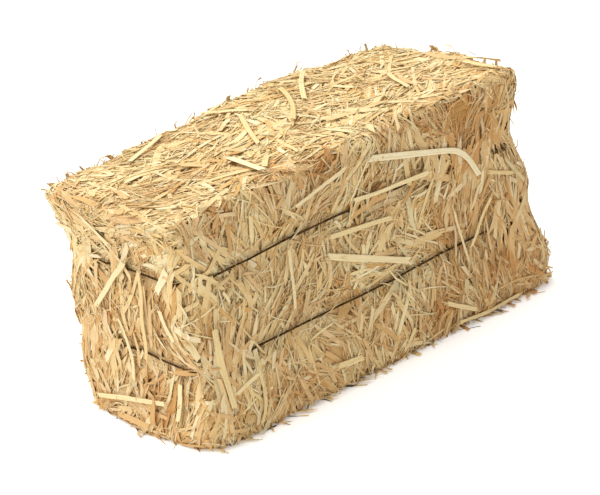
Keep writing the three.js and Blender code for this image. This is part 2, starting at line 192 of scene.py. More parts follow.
def linear(hex_colour: str) -> tuple[float, float, float, float]:
    """Turns an sRGB hex colour into the linear colour that a shader takes.

    Args:
        hex_colour: Six hex digits after a hash sign.

    Returns:
        Red, green, blue and full opacity.
    """
    values = [int(hex_colour[i : i + 2], 16) / 255 for i in (1, 3, 5)]
    red, green, blue = (v / 12.92 if v <= 0.04045 else ((v + 0.055) / 1.055) ** 2.4 for v in values)
    return red, green, blue, 1.0


def fill_ramp(ramp: bpy.types.Node, stops: tuple[tuple[float, str], ...]) -> None:
    """Sets the stops of a colour ramp.

    Args:
        ramp: The colour ramp node.
        stops: Place and sRGB colour of each stop, in order.
    """
    elements = ramp.color_ramp.elements
    while len(elements) < len(stops):
        elements.new(0.5)
    for element, (place, colour) in zip(elements, stops):
        element.position = place
        element.color = linear(colour)


def bell(distance: Any, reach: float) -> Any:
    """Bell curve: 1 at no distance, 0.37 at the reach."""
    return np.exp(-((distance / reach) ** 2))


def unit(vectors: np.ndarray) -> np.ndarray:
    """Scales each row to length 1."""
    return vectors / np.maximum(np.linalg.norm(vectors, axis=-1, keepdims=True), 1e-12)


def add_object(name: str, data: Any) -> bpy.types.Object:
    """Makes an object for a mesh, light or camera, with its origin at the world origin.

    Args:
        name: Name of the object.
        data: The mesh, light or camera.

    Returns:
        The object, linked to the scene.
    """
    made = bpy.data.objects.new(name, data)
    bpy.context.scene.collection.objects.link(made)
    return made


def mesh_object(
    name: str, points: np.ndarray, faces: list, scale: float = MM, edges: tuple | list = ()
) -> bpy.types.Object:
    """Makes a mesh object.

    Args:
        name: Name of the object and its mesh.
        points: Vertex positions, one row each.
        faces: Vertex numbers of each face.
        scale: Metres per unit of the points.
        edges: Vertex numbers of each edge that no face has.

    Returns:
        The object, linked to the scene.
    """
    mesh = bpy.data.meshes.new(name)
    mesh.from_pydata((np.asarray(points) * scale).tolist(), edges, faces)
    mesh.update()
    return add_object(name, mesh)


def set_attributes(mesh: bpy.types.Mesh, domain: str, **attributes: np.ndarray) -> None:
    """Writes attributes of a mesh: a vector where a row has three numbers, else a number.

    Args:
        mesh: The mesh that gets them.
        domain: POINT or FACE.
        **attributes: One row for each element, by the attribute's name.
    """
    for name, rows in attributes.items():
        whole = "INT" if rows.dtype.kind == "i" else "FLOAT"
        kind, key = ("FLOAT_VECTOR", "vector") if rows.ndim == 2 else (whole, "value")
        mesh.attributes.new(name, kind, domain).data.foreach_set(key, rows.ravel())


def read_rows(elements: Any, key: str) -> np.ndarray:
    """Reads three numbers of each vertex or face of a mesh.

    Args:
        elements: The vertices or faces.
        key: Property that holds the three numbers.

    Returns:
        One row for each element.
    """
    found = np.zeros(len(elements) * 3)
    elements.foreach_get(key, found)
    return found.reshape(-1, 3)


def finish_piece(piece: bpy.types.Object, slot: str, material: bpy.types.Material, node: str) -> None:
    """Args:
        piece: The finished mesh object.
        slot: Name of its kind of material, which is only logged.
        material: The material that covers it.
        node: The CAD node that it stands for.
    """
    piece.data.materials.clear()
    piece.data.materials.append(material)
    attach(piece, BODY)
    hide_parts(node)
    log.info("%s: %d faces, slot %s", piece.name, len(piece.data.polygons), slot)


# Form of the bale


class Zone(IntEnum):
    """The six faces of the bale."""

    FRONT = 0
    BACK = 1
    LEFT_END = 2
    RIGHT_END = 3
    TOP = 4
    UNDERSIDE = 5


@dataclass(frozen=True)
class Face:
    """Which way a face of the bale lies: its two axes, its side of the third, and its straws."""

    along: int
    up: int
    side: int
    degrees: float


FACES = {
    Zone.FRONT: Face(0, 2, -1, 84),
    Zone.BACK: Face(0, 2, 1, 90),
    Zone.LEFT_END: Face(1, 2, -1, 98),
    Zone.RIGHT_END: Face(1, 2, 1, 90),
    Zone.TOP: Face(0, 1, 1, -10),
    Zone.UNDERSIDE: Face(0, 1, -1, 90),
}


@dataclass(frozen=True)
class BaleForm:
    """Form of the pressed block, with the driving dimensions of the part's source in millimetres."""

    length: float = 530.0
    width: float = 244.0
    height: float = 277.0
    top_edge: float = 9.0
    bottom_edge: float = 4.0
    corner: float = 14.0
    upper_pinch: float = 36.0
    lower_pinch: float = 19.0
    front_left_share: float = 0.4
    pinch_reach: float = 43.0
    face_press: float = 5.0
    press_reach: float = 15.0
    foot_level: float = 0.14
    foot_reach: float = 45.0
    foot_corner: float = 20.0
    # How far each of these bulges out at the left and the right end, or at the front and the back.
    foot_ends: tuple[float, float] = (5.0, 15.0)
    foot_sides: tuple[float, float] = (11.0, 3.0)
    middle_ends: tuple[float, float] = (3.0, 5.0)
    shoulder_ends: tuple[float, float] = (11.0, 0.0)
    shoulder_reach: float = 32.0
    middle_reach: float = 30.0
    skirt_bulge: float = 13.0
    skirt_forward: float = 0.06
    skirt_reach: float = 78.0
    skirt_height: float = 26.0
    skirt_power: int = 6
    front_top_drop: float = 2.0
    back_top_rise: float = 5.0
    end_top_rise: float = 4.0
    hump_rise: float = 13.0
    hump_x: float = 25.0
    hump_reach: float = 105.0
    hump_lean: float = 0.62
    lump: float = 2.0
    lump_power: int = 7
    twine_tilt: float = 5.2
    twine_shares: tuple[float, float] = (0.722, 0.355)

    @property
    def twine_heights(self) -> tuple[float, float]:
        """Heights of the upper and the lower twine at the middle of the bale."""
        return self.twine_shares[0] * self.height, self.twine_shares[1] * self.height

    def tilt_at(self, x: np.ndarray, height: np.ndarray) -> np.ndarray:
        """How far the layers lean up towards the right end at a place."""
        upper = self.twine_heights[0]
        return self.twine_tilt * np.sin(height / upper * math.pi / 2) * x / (self.length / 2)

    def lump_at(self, x: np.ndarray, y: np.ndarray, z: np.ndarray) -> np.ndarray:
        """Gentle lumps of the pressed straw at a place, by the same waves as the part's source.

        Args:
            x: Place along the bale.
            y: Place from front to back.
            z: Height over the floor.

        Returns:
            Height of the lumps in millimetres.
        """
        broad = np.sin(x / 43 + z / 57) * np.cos(y / 39 - z / 31)
        fine = 0.6 * np.sin(x / 21 + 1.3) * np.sin(z / 19 + y / 25)
        return self.lump * (broad + fine) * np.clip(z / 30, 0, 1)

    def edge_inset(self, height: np.ndarray) -> np.ndarray:
        """How far the sides draw in at the rounded top and bottom edges.

        Args:
            height: Nominal height in millimetres.

        Returns:
            Inset in millimetres.
        """
        inset = 0.0
        for edge, past in (
            (self.top_edge, np.maximum(0, height - (self.height - self.top_edge))),
            (self.bottom_edge, np.maximum(0, self.bottom_edge - height)),
        ):
            inset = inset + (edge - np.sqrt(np.maximum(edge**2 - past**2, 0)))
        return inset

    def top_rise(self, x: np.ndarray, y: np.ndarray) -> np.ndarray:
        """Rise of the uneven top over its nominal height.

        Args:
            x: Place along the bale.
            y: Place from front to back.

        Returns:
            Rise in millimetres.
        """
        to_back = np.clip(y / self.width + 0.5, 0, 1)
        hump = self.hump_rise * bell(x - self.hump_x, self.hump_reach)
        hump = hump * np.sin(to_back * math.pi * self.hump_lean)
        slope = -self.front_top_drop + (self.back_top_rise + self.front_top_drop) * to_back
        return slope + self.end_top_rise * x / (self.length / 2) + hump

    def place(self, across: np.ndarray, deep: np.ndarray, height: np.ndarray) -> np.ndarray:
        """Point of the form from its place between the faces.

        Args:
            across: -1 at the left end to 1 at the right end.
            deep: -1 at the front to 1 at the back.
            height: Nominal height in millimetres.

        Returns:
            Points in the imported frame, in millimetres.
        """
        upper, lower = self.twine_heights
        at_upper, at_lower = bell(height - upper, self.press_reach), bell(height - lower, self.press_reach)
        inset = self.edge_inset(height) + self.face_press * (at_upper + at_lower)
        left, front = across < 0, deep < 0
        foot = bell(height - self.foot_level * self.height, self.foot_reach)
        middle = bell(height - (upper + lower) / 2, self.middle_reach)
        shoulder = bell(height - self.height, self.shoulder_reach)
        half_x = self.length / 2 - inset + np.where(left, *self.foot_ends) * foot
        half_x = half_x + np.where(left, *self.middle_ends) * middle
        half_x = half_x + np.where(left, *self.shoulder_ends) * shoulder
        half_y = self.width / 2 - inset + np.where(front, *self.foot_sides) * foot
        pinch = self.upper_pinch * bell(height - upper, self.pinch_reach)
        pinch = pinch + self.lower_pinch * bell(height - lower, self.pinch_reach)
        pinch = pinch * np.where(left & front, self.front_left_share, 1)
        radius = self.corner + pinch + self.foot_corner * bell(height, self.foot_reach)
        x, y = across * half_x, deep * half_y
        inner_x = np.clip(x, radius - half_x, half_x - radius)
        inner_y = np.clip(y, radius - half_y, half_y - radius)
        off_x, off_y = x - inner_x, y - inner_y
        scale = np.maximum(abs(off_x), abs(off_y)) / np.maximum(np.hypot(off_x, off_y), 1e-9)
        x, y = inner_x + off_x * scale, inner_y + off_y * scale
        skirt = self.skirt_bulge * bell(y + self.skirt_forward * self.width, self.skirt_reach)
        x = x - np.where(left, across**self.skirt_power * (skirt * bell(height, self.skirt_height)), 0)
        lump = self.lump_at(x, y, height)
        # The lumps swell the faces and leave the inside as it is.
        x = x + lump * (x / half_x) ** self.lump_power
        y = y + lump * (y / half_y) ** self.lump_power
        near_top = np.clip((height - upper) / (self.height - upper), 0, 1)
        z = height + self.tilt_at(x, height) + near_top**2 * (self.top_rise(x, y) + lump)
        return np.stack([x + FORM_SHIFT[0], y + FORM_SHIFT[1], z], -1)

    def over_twine(self, points: np.ndarray, which: int) -> np.ndarray:
        """Signed height of points over the upper (0) or the lower (1) twine."""
        level = self.twine_heights[which]
        return points[..., 2] - level - self.tilt_at(points[..., 0] - FORM_SHIFT[0], level)


@dataclass(frozen=True)
class Waves:
    """Seeded sum of plane waves, for tufts, hollows and the way the straws lie."""

    scale: float
    seed: int
    count: int = 14
    shortest: float = 0.7
    longest: float = 1.5
    strength: float = 0.6

    def at(self, points: np.ndarray) -> np.ndarray:
        """Value of about -1 to 1 at each point.

        Args:
            points: Points in millimetres.

        Returns:
            One value for each point.
        """
        chance = np.random.default_rng(self.seed)
        directions = unit(chance.normal(size=(self.count, 3)))
        sizes = 2 * math.pi / (self.scale * chance.uniform(self.shortest, self.longest, self.count))
        phases = chance.uniform(0, 2 * math.pi, self.count)
        waves = np.sin(points @ (directions * sizes[:, None]).T + phases)
        return waves.sum(-1) / math.sqrt(self.count / 2) * self.strength


@dataclass
class Clumps:
    """Bundles of straws that lie the same way, as the strokes of the baler leave them."""

    size: float = 30.0
    turn: float = 23.0
    most_turn: float = 80.0
    lowest: float = -3.2
    usual: float = 0.2
    highest: float = 1.2
    blend: float = 5.0
    sway_size: float = 34.0
    wobble: float = 7.0
    seed: int = 31
    centres: np.ndarray | None = None
    turns: np.ndarray | None = None
    rises: np.ndarray | None = None
    tints: np.ndarray | None = None

    def scatter(self, points: np.ndarray, area: float) -> None:
        """Chooses the clumps.

        Args:
            points: Points spread evenly over the bale, in millimetres.
            area: Area of the bale in square millimetres.
        """
        chance = np.random.default_rng(self.seed)
        count = round(area / self.size**2)
        self.centres = points[chance.choice(len(points), count, replace=False)]
        self.turns = np.clip(chance.normal(0, self.turn, count), -self.most_turn, self.most_turn)
        self.rises = chance.triangular(self.lowest, self.usual, self.highest, count)
        self.tints = chance.uniform(-1, 1, count)

    def look_up(self, points: np.ndarray) -> tuple[np.ndarray, np.ndarray]:
        """Finds the clump of each point.

        Args:
            points: Points in millimetres.

        Returns:
            The number of the nearest clump, and the rise blended between neighbours.
        """
        sway = np.stack([Waves(self.sway_size, self.seed + axis).at(points) for axis in (1, 2, 3)], -1)
        moved = (points + self.wobble * sway).astype(np.float32)
        centres = self.centres.astype(np.float32)
        squares = (moved**2).sum(1)[:, None] + (centres**2).sum(1) - 2 * moved @ centres.T
        gaps = np.sqrt(np.maximum(squares, 0))
        weights = np.exp((gaps.min(1, keepdims=True) - gaps) / self.blend)
        return gaps.argmin(1), (weights * self.rises).sum(1) / weights.sum(1)


@dataclass(frozen=True)
class Lie:
    """Place on a face where the straws lie in one direction, or fan out from a point.

    The middle, the reach and the fan's point are in millimetres along the face and up or back on it.
    """

    zone: Zone
    middle: tuple[float, float]
    reach: tuple[float, float]
    degrees: float = 0.0
    fan_from: tuple[float, float] | None = None
    hold: float = 1.5

    def turned(self, degrees: np.ndarray, along: np.ndarray, up: np.ndarray) -> np.ndarray:
        """Turns the directions near the place.

        Args:
            degrees: Direction at each point of the face.
            along: Place of each point along the face.
            up: Place of each point up or back on it.

        Returns:
            The new directions.
        """
        off_along, off_up = (along - self.middle[0]) / self.reach[0], (up - self.middle[1]) / self.reach[1]
        share = np.clip(self.hold * np.exp(-(off_along**2) - off_up**2), 0, 1)
        target = self.degrees
        if self.fan_from:
            target = np.degrees(np.arctan2(up - self.fan_from[1], along - self.fan_from[0]))
        return degrees + share * ((target - degrees + 90) % 180 - 90)


@dataclass(frozen=True)
class BuriedTwine:
    """Stretch of a twine that straws cover on the photographed bale, in millimetres along its face."""

    zone: Zone
    which: int
    low: float
    high: float
    share: float
    # The front lies before these depths on the right and the left half, and the left end beyond this.
    front_before: tuple[float, float] = (-30, -85)
    end_beyond: float = -240

    def at(self, points: np.ndarray) -> np.ndarray:
        """Share of the crossing straws that ride over the twine at each point.

        Args:
            points: Points in millimetres.

        Returns:
            The share, which is 0 away from the stretch.
        """
        x, y, z = points.T
        if self.zone == Zone.FRONT:
            on_face, along = y < np.where(x > 0, *self.front_before), x
        else:
            on_face, along = x < self.end_beyond, y
        level = z > MIDDLE_LEVEL if self.which == 0 else z <= MIDDLE_LEVEL
        return self.share * (on_face & level & (along > self.low) & (along < self.high))


@dataclass(frozen=True)
class Hollow:
    """Pocket where straws have fallen out and the browner inner ones show; its brown is partly painted shade.
    Sizes are in millimetres.
    """

    middle: tuple[float, float, float]
    radius: float
    depth: float

    def share(self, points: np.ndarray) -> np.ndarray:
        """How much each point lies in the pocket, from 0 to 1."""
        return bell(np.linalg.norm(points - np.array(self.middle), axis=-1), self.radius)


# How the straws of the photographed bale lie where it isn't the usual way of their face.
LIES = (
    Lie(Zone.FRONT, (60, 190), (95, 26), 20),
    Lie(Zone.FRONT, (-5, 235), (60, 26), 48),
    Lie(Zone.FRONT, (0, 118), (60, 16), 172),
    Lie(Zone.FRONT, (212, 150), (42, 60), fan_from=(206, 222)),
    Lie(Zone.FRONT, (225, 40), (45, 45), fan_from=(190, 95)),
    Lie(Zone.LEFT_END, (0, 252), (150, 34), 6),
    Lie(Zone.LEFT_END, (30, 205), (70, 26), 140),
    Lie(Zone.LEFT_END, (0, 8), (150, 30), 165),
)
BURIED = (
    BuriedTwine(Zone.FRONT, 0, -28, 22, 0.5),
    BuriedTwine(Zone.FRONT, 0, 22, 90, 0.12),
    BuriedTwine(Zone.FRONT, 0, 90, 290, 0.55),
    BuriedTwine(Zone.FRONT, 1, -262, -225, 0.7),
    BuriedTwine(Zone.FRONT, 1, -225, -190, 0.3),
    BuriedTwine(Zone.FRONT, 1, 190, 290, 0.8),
    BuriedTwine(Zone.LEFT_END, 0, -125, -76, 0.6),
    BuriedTwine(Zone.LEFT_END, 0, -8, 22, 0.35),
    BuriedTwine(Zone.LEFT_END, 0, 54, 125, 0.7),
    BuriedTwine(Zone.LEFT_END, 1, 36, 125, 0.7),
    BuriedTwine(Zone.LEFT_END, 1, -125, -106, 0.4),
)
HOLLOWS = (
    Hollow((160, -112, 256), 25, 9),
    Hollow((100, -113, 262), 16, 5),
    Hollow((38, -113, 268), 12, 4),
    Hollow((-52, -113, 262), 13, 4),
    Hollow((-140, -113, 264), 12, 4),
    Hollow((-200, -113, 250), 12, 4),
    Hollow((90, -125, 38), 24, 5),
    Hollow((-116, -114, 112), 14, 5),
    Hollow((-244, -108, 240), 16, 4),
    Hollow((188, -120, 60), 20, 4),
    Hollow((-150, -122, 22), 18, 4),
    Hollow((236, -104, 62), 16, 4),
    Hollow((-268, 40, 150), 14, 3),
    Hollow((-268, -20, 60), 16, 3),
)


@dataclass
class GuideSurface:
    """Closed surface that the straws lie on: the bale's form with its tufts and hollows."""

    form: BaleForm
    clumps: Clumps = field(default_factory=Clumps)
    cell: float = 5.0
    core_inset: float = 8.0
    core_floor: float = 1.5
    tufts: Waves = Waves(62, 11)
    tuft_height: float = 1.6
    settled: float = -1.6
    relief_range: tuple[float, float] = (-7.0, 2.2)
    floor_reach: float = 25.0
    floor_inset: float = 1.0
    patches: Waves = Waves(80, 41)
    flecks: Waves = Waves(30, 42)
    sway: Waves = Waves(120, 21)
    sway_degrees: float = 20.0
    top_turn: float = 1.7
    top_shade: float = 0.35
    # Browner straw: the even share, what the patches and the flecks add, and how much counts in all.
    patch_shares: tuple[float, float, float] = (0.25, 0.5, 0.3)
    patch_brown: float = 0.6
    pocket_brown_and_shade: float = 0.8
    top_brown: float = 0.2
    # The right of the front and the foot of the left end: how brown, and where it starts.
    right_brown: float = 0.32
    right_from: float = 50.0
    right_before: float = -90.0
    foot_brown: float = 0.28
    foot_from: float = 200.0
    foot_beyond: float = -230.0
    brown_blend: float = 100.0
    # Heights over the form of a straw beside a twine, under it and over it.
    beside_twine: float = -0.8
    under_twine: float = -5.4
    over_twine: float = 4.2
    beside_reach: float = 7.0
    bridge_reach: float = 20.0
    no_limit: float = 99.0
    merge_distance: float = 0.2
    core_points: np.ndarray | None = None
    core_faces: list = field(default_factory=list)

    def patch(self, zone: Zone) -> tuple[np.ndarray, list]:
        """Grid of points and faces over one face of the bale.

        Args:
            zone: The face.

        Returns:
            The points and the quads, which face outwards.
        """
        form, face = self.form, FACES[zone]
        spans = (form.length, form.width, form.height)
        long, tall = (max(2, round(spans[axis] / self.cell)) for axis in (face.along, face.up))
        u, v = np.meshgrid(np.linspace(-1, 1, long + 1), np.linspace(-1, 1, tall + 1), indexing="ij")
        places = [np.full_like(u, face.side) for _ in spans]
        places[face.along], places[face.up] = u, v
        across, deep, level = places
        points = form.place(across, deep, (level + 1) / 2 * form.height).reshape(-1, 3)
        turned = zone in (Zone.BACK, Zone.LEFT_END, Zone.UNDERSIDE)
        faces = []
        for i in range(long):
            for j in range(tall):
                a = i * (tall + 1) + j
                quad = [a, a + tall + 1, a + tall + 2, a + 1]
                faces.append(quad[::-1] if turned else quad)
        return points, faces

    def relief(self, points: np.ndarray) -> np.ndarray:
        """How far the surface stands proud of the plain form at each point.

        Args:
            points: Points of the plain form.

        Returns:
            Height over the form in millimetres.
        """
        off_floor = np.clip(points[:, 2] / self.floor_reach, 0, 1)
        rise = self.settled + self.tuft_height * self.tufts.at(points) + self.clumps.look_up(points)[1]
        sunk = sum(hollow.depth * hollow.share(points) for hollow in HOLLOWS)
        return (np.clip(rise, *self.relief_range) - sunk) * off_floor - self.floor_inset * (1 - off_floor)

    def browning(self, points: np.ndarray) -> np.ndarray:
        """Share of browner straw at each point, from 0 to 1: patches, the pockets, whose brown is partly
        painted shade, and two large areas.

        Args:
            points: Points in millimetres.

        Returns:
            The share for each point.
        """
        even, patch, fleck = self.patch_shares
        patches = np.clip(even + patch * self.patches.at(points) + fleck * self.flecks.at(points), 0, 1)
        # The brown in the pockets is partly real inner straw and partly painted shade in the hollows.
        pockets = np.max([hollow.share(points) for hollow in HOLLOWS], axis=0)
        x, y, z = points.T
        top = z > TOP_LEVEL
        # The right of the front and the foot of the left end are browner on the photographed bale.
        right = np.clip((x - self.right_from) / self.brown_blend, 0, 1)
        right = self.right_brown * (y < self.right_before) * right
        foot = np.clip((self.foot_from - z) / self.brown_blend, 0, 1)
        foot = self.foot_brown * (x < self.foot_beyond) * foot
        patches = self.patch_brown * patches * np.where(top, self.top_brown, 1.0)
        return np.clip(patches + self.pocket_brown_and_shade * pockets + (right + foot) * ~top, 0, 1)

    def headings(self, centres: np.ndarray, zones: np.ndarray) -> np.ndarray:
        """Direction in which most straws lie at each face, as on the photographed bale.

        Args:
            centres: Middle of each face of the guide.
            zones: Zone of each face of the guide.

        Returns:
            One unit vector for each face, in its zone's plane.
        """
        sway = self.sway_degrees * self.sway.at(centres)
        turns = self.clumps.turns[self.clumps.look_up(centres)[0]]
        found = np.zeros_like(centres)
        for zone, face in FACES.items():
            chosen = zones == zone
            degrees = face.degrees + sway[chosen]
            for lie in LIES:
                if lie.zone == zone:
                    degrees = lie.turned(degrees, centres[chosen, face.along], centres[chosen, face.up])
            turned = turns[chosen] * (self.top_turn if zone == Zone.TOP else 1.0)
            angle = np.radians(degrees + turned)
            found[chosen, face.along] = np.cos(angle)
            found[chosen, face.up] = np.sin(angle)
        return found

    def build(self) -> bpy.types.Object:
        """Makes the guide object and the points of the core.

        Returns:
            The guide, which isn't part of the finished model.
        """
        points, faces, zones = [], [], []
        start = 0
        for zone in Zone:
            patch_points, patch_faces = self.patch(zone)
            points.append(patch_points)
            faces += [[index + start for index in face] for face in patch_faces]
            zones += [int(zone)] * len(patch_faces)
            start += len(patch_points)
        guide = mesh_object("straw_guide", np.concatenate(points), faces)
        mesh = guide.data
        set_attributes(mesh, "FACE", zone=np.array(zones, np.int32))
        work = bmesh.new()
        work.from_mesh(mesh)
        bmesh.ops.remove_doubles(work, verts=work.verts, dist=self.merge_distance * MM)
        work.normal_update()
        work.to_mesh(mesh)
        work.free()
        self.dress(mesh)
        return guide

    def dress(self, mesh: bpy.types.Mesh) -> None:
        """Gives the merged guide its relief and the attributes that the straws follow.

        Args:
            mesh: The guide's mesh, still on the plain form.
        """
        plain = read_rows(mesh.vertices, "co") / MM
        normals = read_rows(mesh.vertex_normals, "vector")
        self.clumps.scatter(plain, sum(polygon.area for polygon in mesh.polygons) / MM**2)
        relief = self.relief(plain)
        self.core_points = plain - normals * self.core_inset
        self.core_points[:, 2] = np.maximum(self.core_points[:, 2], self.core_floor)
        self.core_faces = [tuple(polygon.vertices) for polygon in mesh.polygons]
        mesh.vertices.foreach_set("co", ((plain + normals * relief[:, None]) * MM).ravel())
        mesh.update()
        over = np.stack([self.form.over_twine(plain, which) for which in (0, 1)])
        gap = abs(over).min(0)
        press = -self.form.face_press * bell(gap, self.form.press_reach)
        # A straw that passes under a twine stays below this, and one beside it below the other.
        under = np.minimum(self.beside_twine, self.under_twine - press) - relief
        beside = np.where(gap < self.beside_reach, self.beside_twine - relief, self.no_limit)
        # A straw that rides over a twine bridges its groove and lies like the others beyond it.
        bridge = (self.over_twine - relief) * bell(gap, self.bridge_reach)
        # Light reaches between the straws of the top, so depth tells less there.
        shade = relief * np.where(plain[:, 2] > TOP_LEVEL, self.top_shade, 1.0)
        set_attributes(
            mesh,
            "POINT",
            outward=read_rows(mesh.vertex_normals, "vector"),
            band=(over > 0).sum(0).astype(float),
            under_twine=under * MM,
            beside_twine=beside * MM,
            bridge=bridge * MM,
            buried=np.max([stretch.at(plain) for stretch in BURIED], axis=0),
            shade_depth=shade * MM,
        )
        centres = read_rows(mesh.polygons, "center") / MM
        zones = np.zeros(len(mesh.polygons), np.int32)
        mesh.attributes["zone"].data.foreach_get("value", zones)
        nearest = self.clumps.look_up(centres)[0]
        set_attributes(
            mesh,
            "FACE",
            heading=self.headings(centres, zones),
            clump_tint=self.clumps.tints[nearest],
            brown=self.browning(centres),
        )


# Straws of the block


class Section(Enum):
    """Cross-section of one laid straw, as (across, up) corners."""

    BLADE = ((-1.0, -1.0), (1.0, -1.0), (1.0, 1.0), (-1.0, 1.0))
    STEM = ((-1.0, 0.2), (-0.5, -1.0), (0.5, -1.0), (1.0, 0.2), (0.0, 1.0))
    FIBRE = ((-1.0, -0.6), (1.0, -0.6), (0.0, 1.0))


@dataclass(frozen=True)
class StrawStrip:
    """One straw in its own coordinates, which the tree bends into place."""

    name: str
    section: Section
    stations: tuple[float, ...]
    end_width: float

    def build(self) -> bpy.types.Object:
        """Makes the strip with its attributes and its part of the bake map.

        Returns:
            The strip object, which isn't part of the finished model.
        """
        around, rings = len(self.section.value), len(self.stations)
        along = np.repeat(self.stations, around)
        across, up = np.tile(np.array(self.section.value).T, rings)
        at_end = np.where(np.minimum(along, 1 - along) < 1e-6, 1.0, 0.0)
        points = np.stack([across * 0.001, along * 0.01, up * 0.001], -1)
        strip = mesh_object(self.name, points, ring_faces(rings, around, 1), 1.0)
        mesh = strip.data
        body = 1 - (1 - self.end_width) * at_end
        set_attributes(mesh, "POINT", along=along, across=across, up=up, cut=across * at_end, body=body)
        places = []
        for polygon in mesh.polygons:
            corners = [v % around for v in polygon.vertices]
            if polygon.index >= around * (rings - 1):
                low = 0.02 if polygon.index == around * (rings - 1) else 0.90
                places += [(0.1 + 0.2 * c, low + 0.08 * (v % 2)) for c, v in zip(corners, polygon.vertices)]
            else:
                wrap = max(corners) - min(corners) > 1
                sides = [c + around if wrap and c == 0 else c for c in corners]
                heights = [along[v] for v in polygon.vertices]
                places += [(s / around, 0.12 + 0.76 * h) for s, h in zip(sides, heights)]
        chart = mesh.uv_layers.new(name=BAKE_MAP)
        chart.uv.foreach_set("vector", np.array(places, np.float32).ravel())
        return strip


def ring_faces(rings: int, around: int, first: int = 0) -> list[list[int]]:
    """Faces of a closed tube whose points run ring by ring.

    Args:
        rings: Number of rings.
        around: Points in each ring.
        first: Which corner each quad starts with, and so which way it is halved.

    Returns:
        Its quads, then the first and the last end.
    """
    faces = []
    for low in range(0, (rings - 1) * around, around):
        for j in range(around):
            k = (j + 1) % around
            quad = [low + j, low + around + j, low + around + k, low + k]
            faces.append(quad[first:] + quad[:first])
    last = (rings - 1) * around
    return faces + [list(range(around)), list(range(last, last + around))[::-1]]


@dataclass(frozen=True)
class StrawLayer:
    """One kind of straw laid on a face. Sizes are in millimetres and angles in degrees."""

    name: str
    strip: StrawStrip
    per_square_metre: float
    length: tuple[float, float]
    width: tuple[float, float]
    thickness: float
    spread: float
    sink: float
    rise: float
    tip: float
    bow: float
    roll: float
    twist: float
    over_twine: float
    stick_out: float
    stick_reach: float
    smooth: bool = False
    # Share of the density on the front, the back, the two ends, the top and the underside.
    shares: tuple[float, ...] = (1.0, 1.0, 1.0, 1.0, 1.0, 0.6)


EVEN_STATIONS = (0.0, 0.26, 0.5, 0.74, 1.0)
STRAW_LAYERS = (
    StrawLayer(
        "bedded_blades",
        StrawStrip("bed_strip", Section.BLADE, (0.0, 0.33, 0.67, 1.0), end_width=0.9),
        per_square_metre=5500, length=(35, 80), width=(5.0, 9.5), thickness=0.7, spread=60,
        sink=3.4, rise=-1.2, tip=1.6, bow=0.04, roll=5, twist=6,
        over_twine=0.0, stick_out=0.0, stick_reach=5,
    ),
    StrawLayer(
        "broad_blades",
        StrawStrip("broad_strip", Section.BLADE, EVEN_STATIONS, end_width=0.9),
        per_square_metre=2600, length=(30, 90), width=(4.2, 8.4), thickness=0.6, spread=60,
        sink=2.0, rise=1.6, tip=2.6, bow=0.04, roll=7, twist=12,
        over_twine=0.03, stick_out=0.12, stick_reach=8, shares=(0.9, 1.0, 2.4, 1.0, 1.0, 0.4),
    ),
    StrawLayer(
        "flat_blades",
        StrawStrip("blade_strip", Section.BLADE, EVEN_STATIONS, end_width=0.85),
        per_square_metre=12000, length=(16, 66), width=(1.8, 5.4), thickness=0.5, spread=65,
        sink=2.0, rise=1.5, tip=2.8, bow=0.06, roll=9, twist=15,
        over_twine=0.035, stick_out=0.12, stick_reach=7,
    ),
    StrawLayer(
        "round_stems",
        StrawStrip("stem_strip", Section.STEM, EVEN_STATIONS, end_width=0.95),
        per_square_metre=4000, length=(25, 105), width=(1.2, 3.0), thickness=1.3, spread=75,
        sink=2.0, rise=1.5, tip=3.4, bow=0.08, roll=30, twist=0,
        over_twine=0.03, stick_out=0.14, stick_reach=9, smooth=True,
    ),
    StrawLayer(
        "fine_fibres",
        StrawStrip("fibre_strip", Section.FIBRE, (0.0, 0.5, 1.0), end_width=0.5),
        per_square_metre=24000, length=(9, 40), width=(0.6, 1.9), thickness=0.5, spread=95,
        sink=2.0, rise=1.5, tip=3.2, bow=0.10, roll=40, twist=0,
        over_twine=0.05, stick_out=0.30, stick_reach=9,
    ),
    StrawLayer(
        "stray_splinters",
        StrawStrip("stray_strip", Section.FIBRE, (0.0, 0.3, 0.6, 1.0), end_width=0.4),
        per_square_metre=1500, length=(12, 46), width=(0.9, 3.0), thickness=0.8, spread=180,
        sink=0.5, rise=2.2, tip=13.0, bow=0.14, roll=60, twist=0,
        over_twine=0.05, stick_out=0.85, stick_reach=12, shares=(1.0, 1.6, 1.9, 1.2, 0.8, 1.6),
    ),
)
LAY_INPUTS = {
    "Object": ("Guide", "Strip"),
    "Int": ("Zone", "Seed"),
    "Float": (
        "Density", "Shortest", "Longest", "Narrowest", "Widest", "Thickness", "Spread", "Sink", "Rise",
        "Tip", "Bow", "Roll", "Twist", "Over Twine", "Stick Out", "Stick Reach",
    ),
    "Bool": ("Smooth",),
    "Material": ("Finish",),
}
GUIDE_SAMPLES = {
    "outward": "FLOAT_VECTOR",
    "under_twine": "FLOAT",
    "beside_twine": "FLOAT",
    "bridge": "FLOAT",
    "shade_depth": "FLOAT",
}
LAY_ATTRIBUTES = {
    "INT": ("zone", "straw"),
    "FLOAT_VECTOR": ("heading", "outward", "place"),
    "FLOAT": (
        "crosses", "band", "under_twine", "beside_twine", "bridge", "buried", "shade_depth",
        "clump_tint", "along", "across", "up", "cut", "body",
    ),
}
# Lowest random number of each kind. The highest is 1, and the place in the table is the seed.
CHANCES = {
    "turn": -1.0, "length": 0.0, "width": 0.0, "lift": 0.0, "tip": -1.0, "bow": -1.0,
    "roll": -1.0, "slant": -1.0, "tint": 0.0, "rides": 0.0, "sticks": 0.0, "twist": -1.0,
}


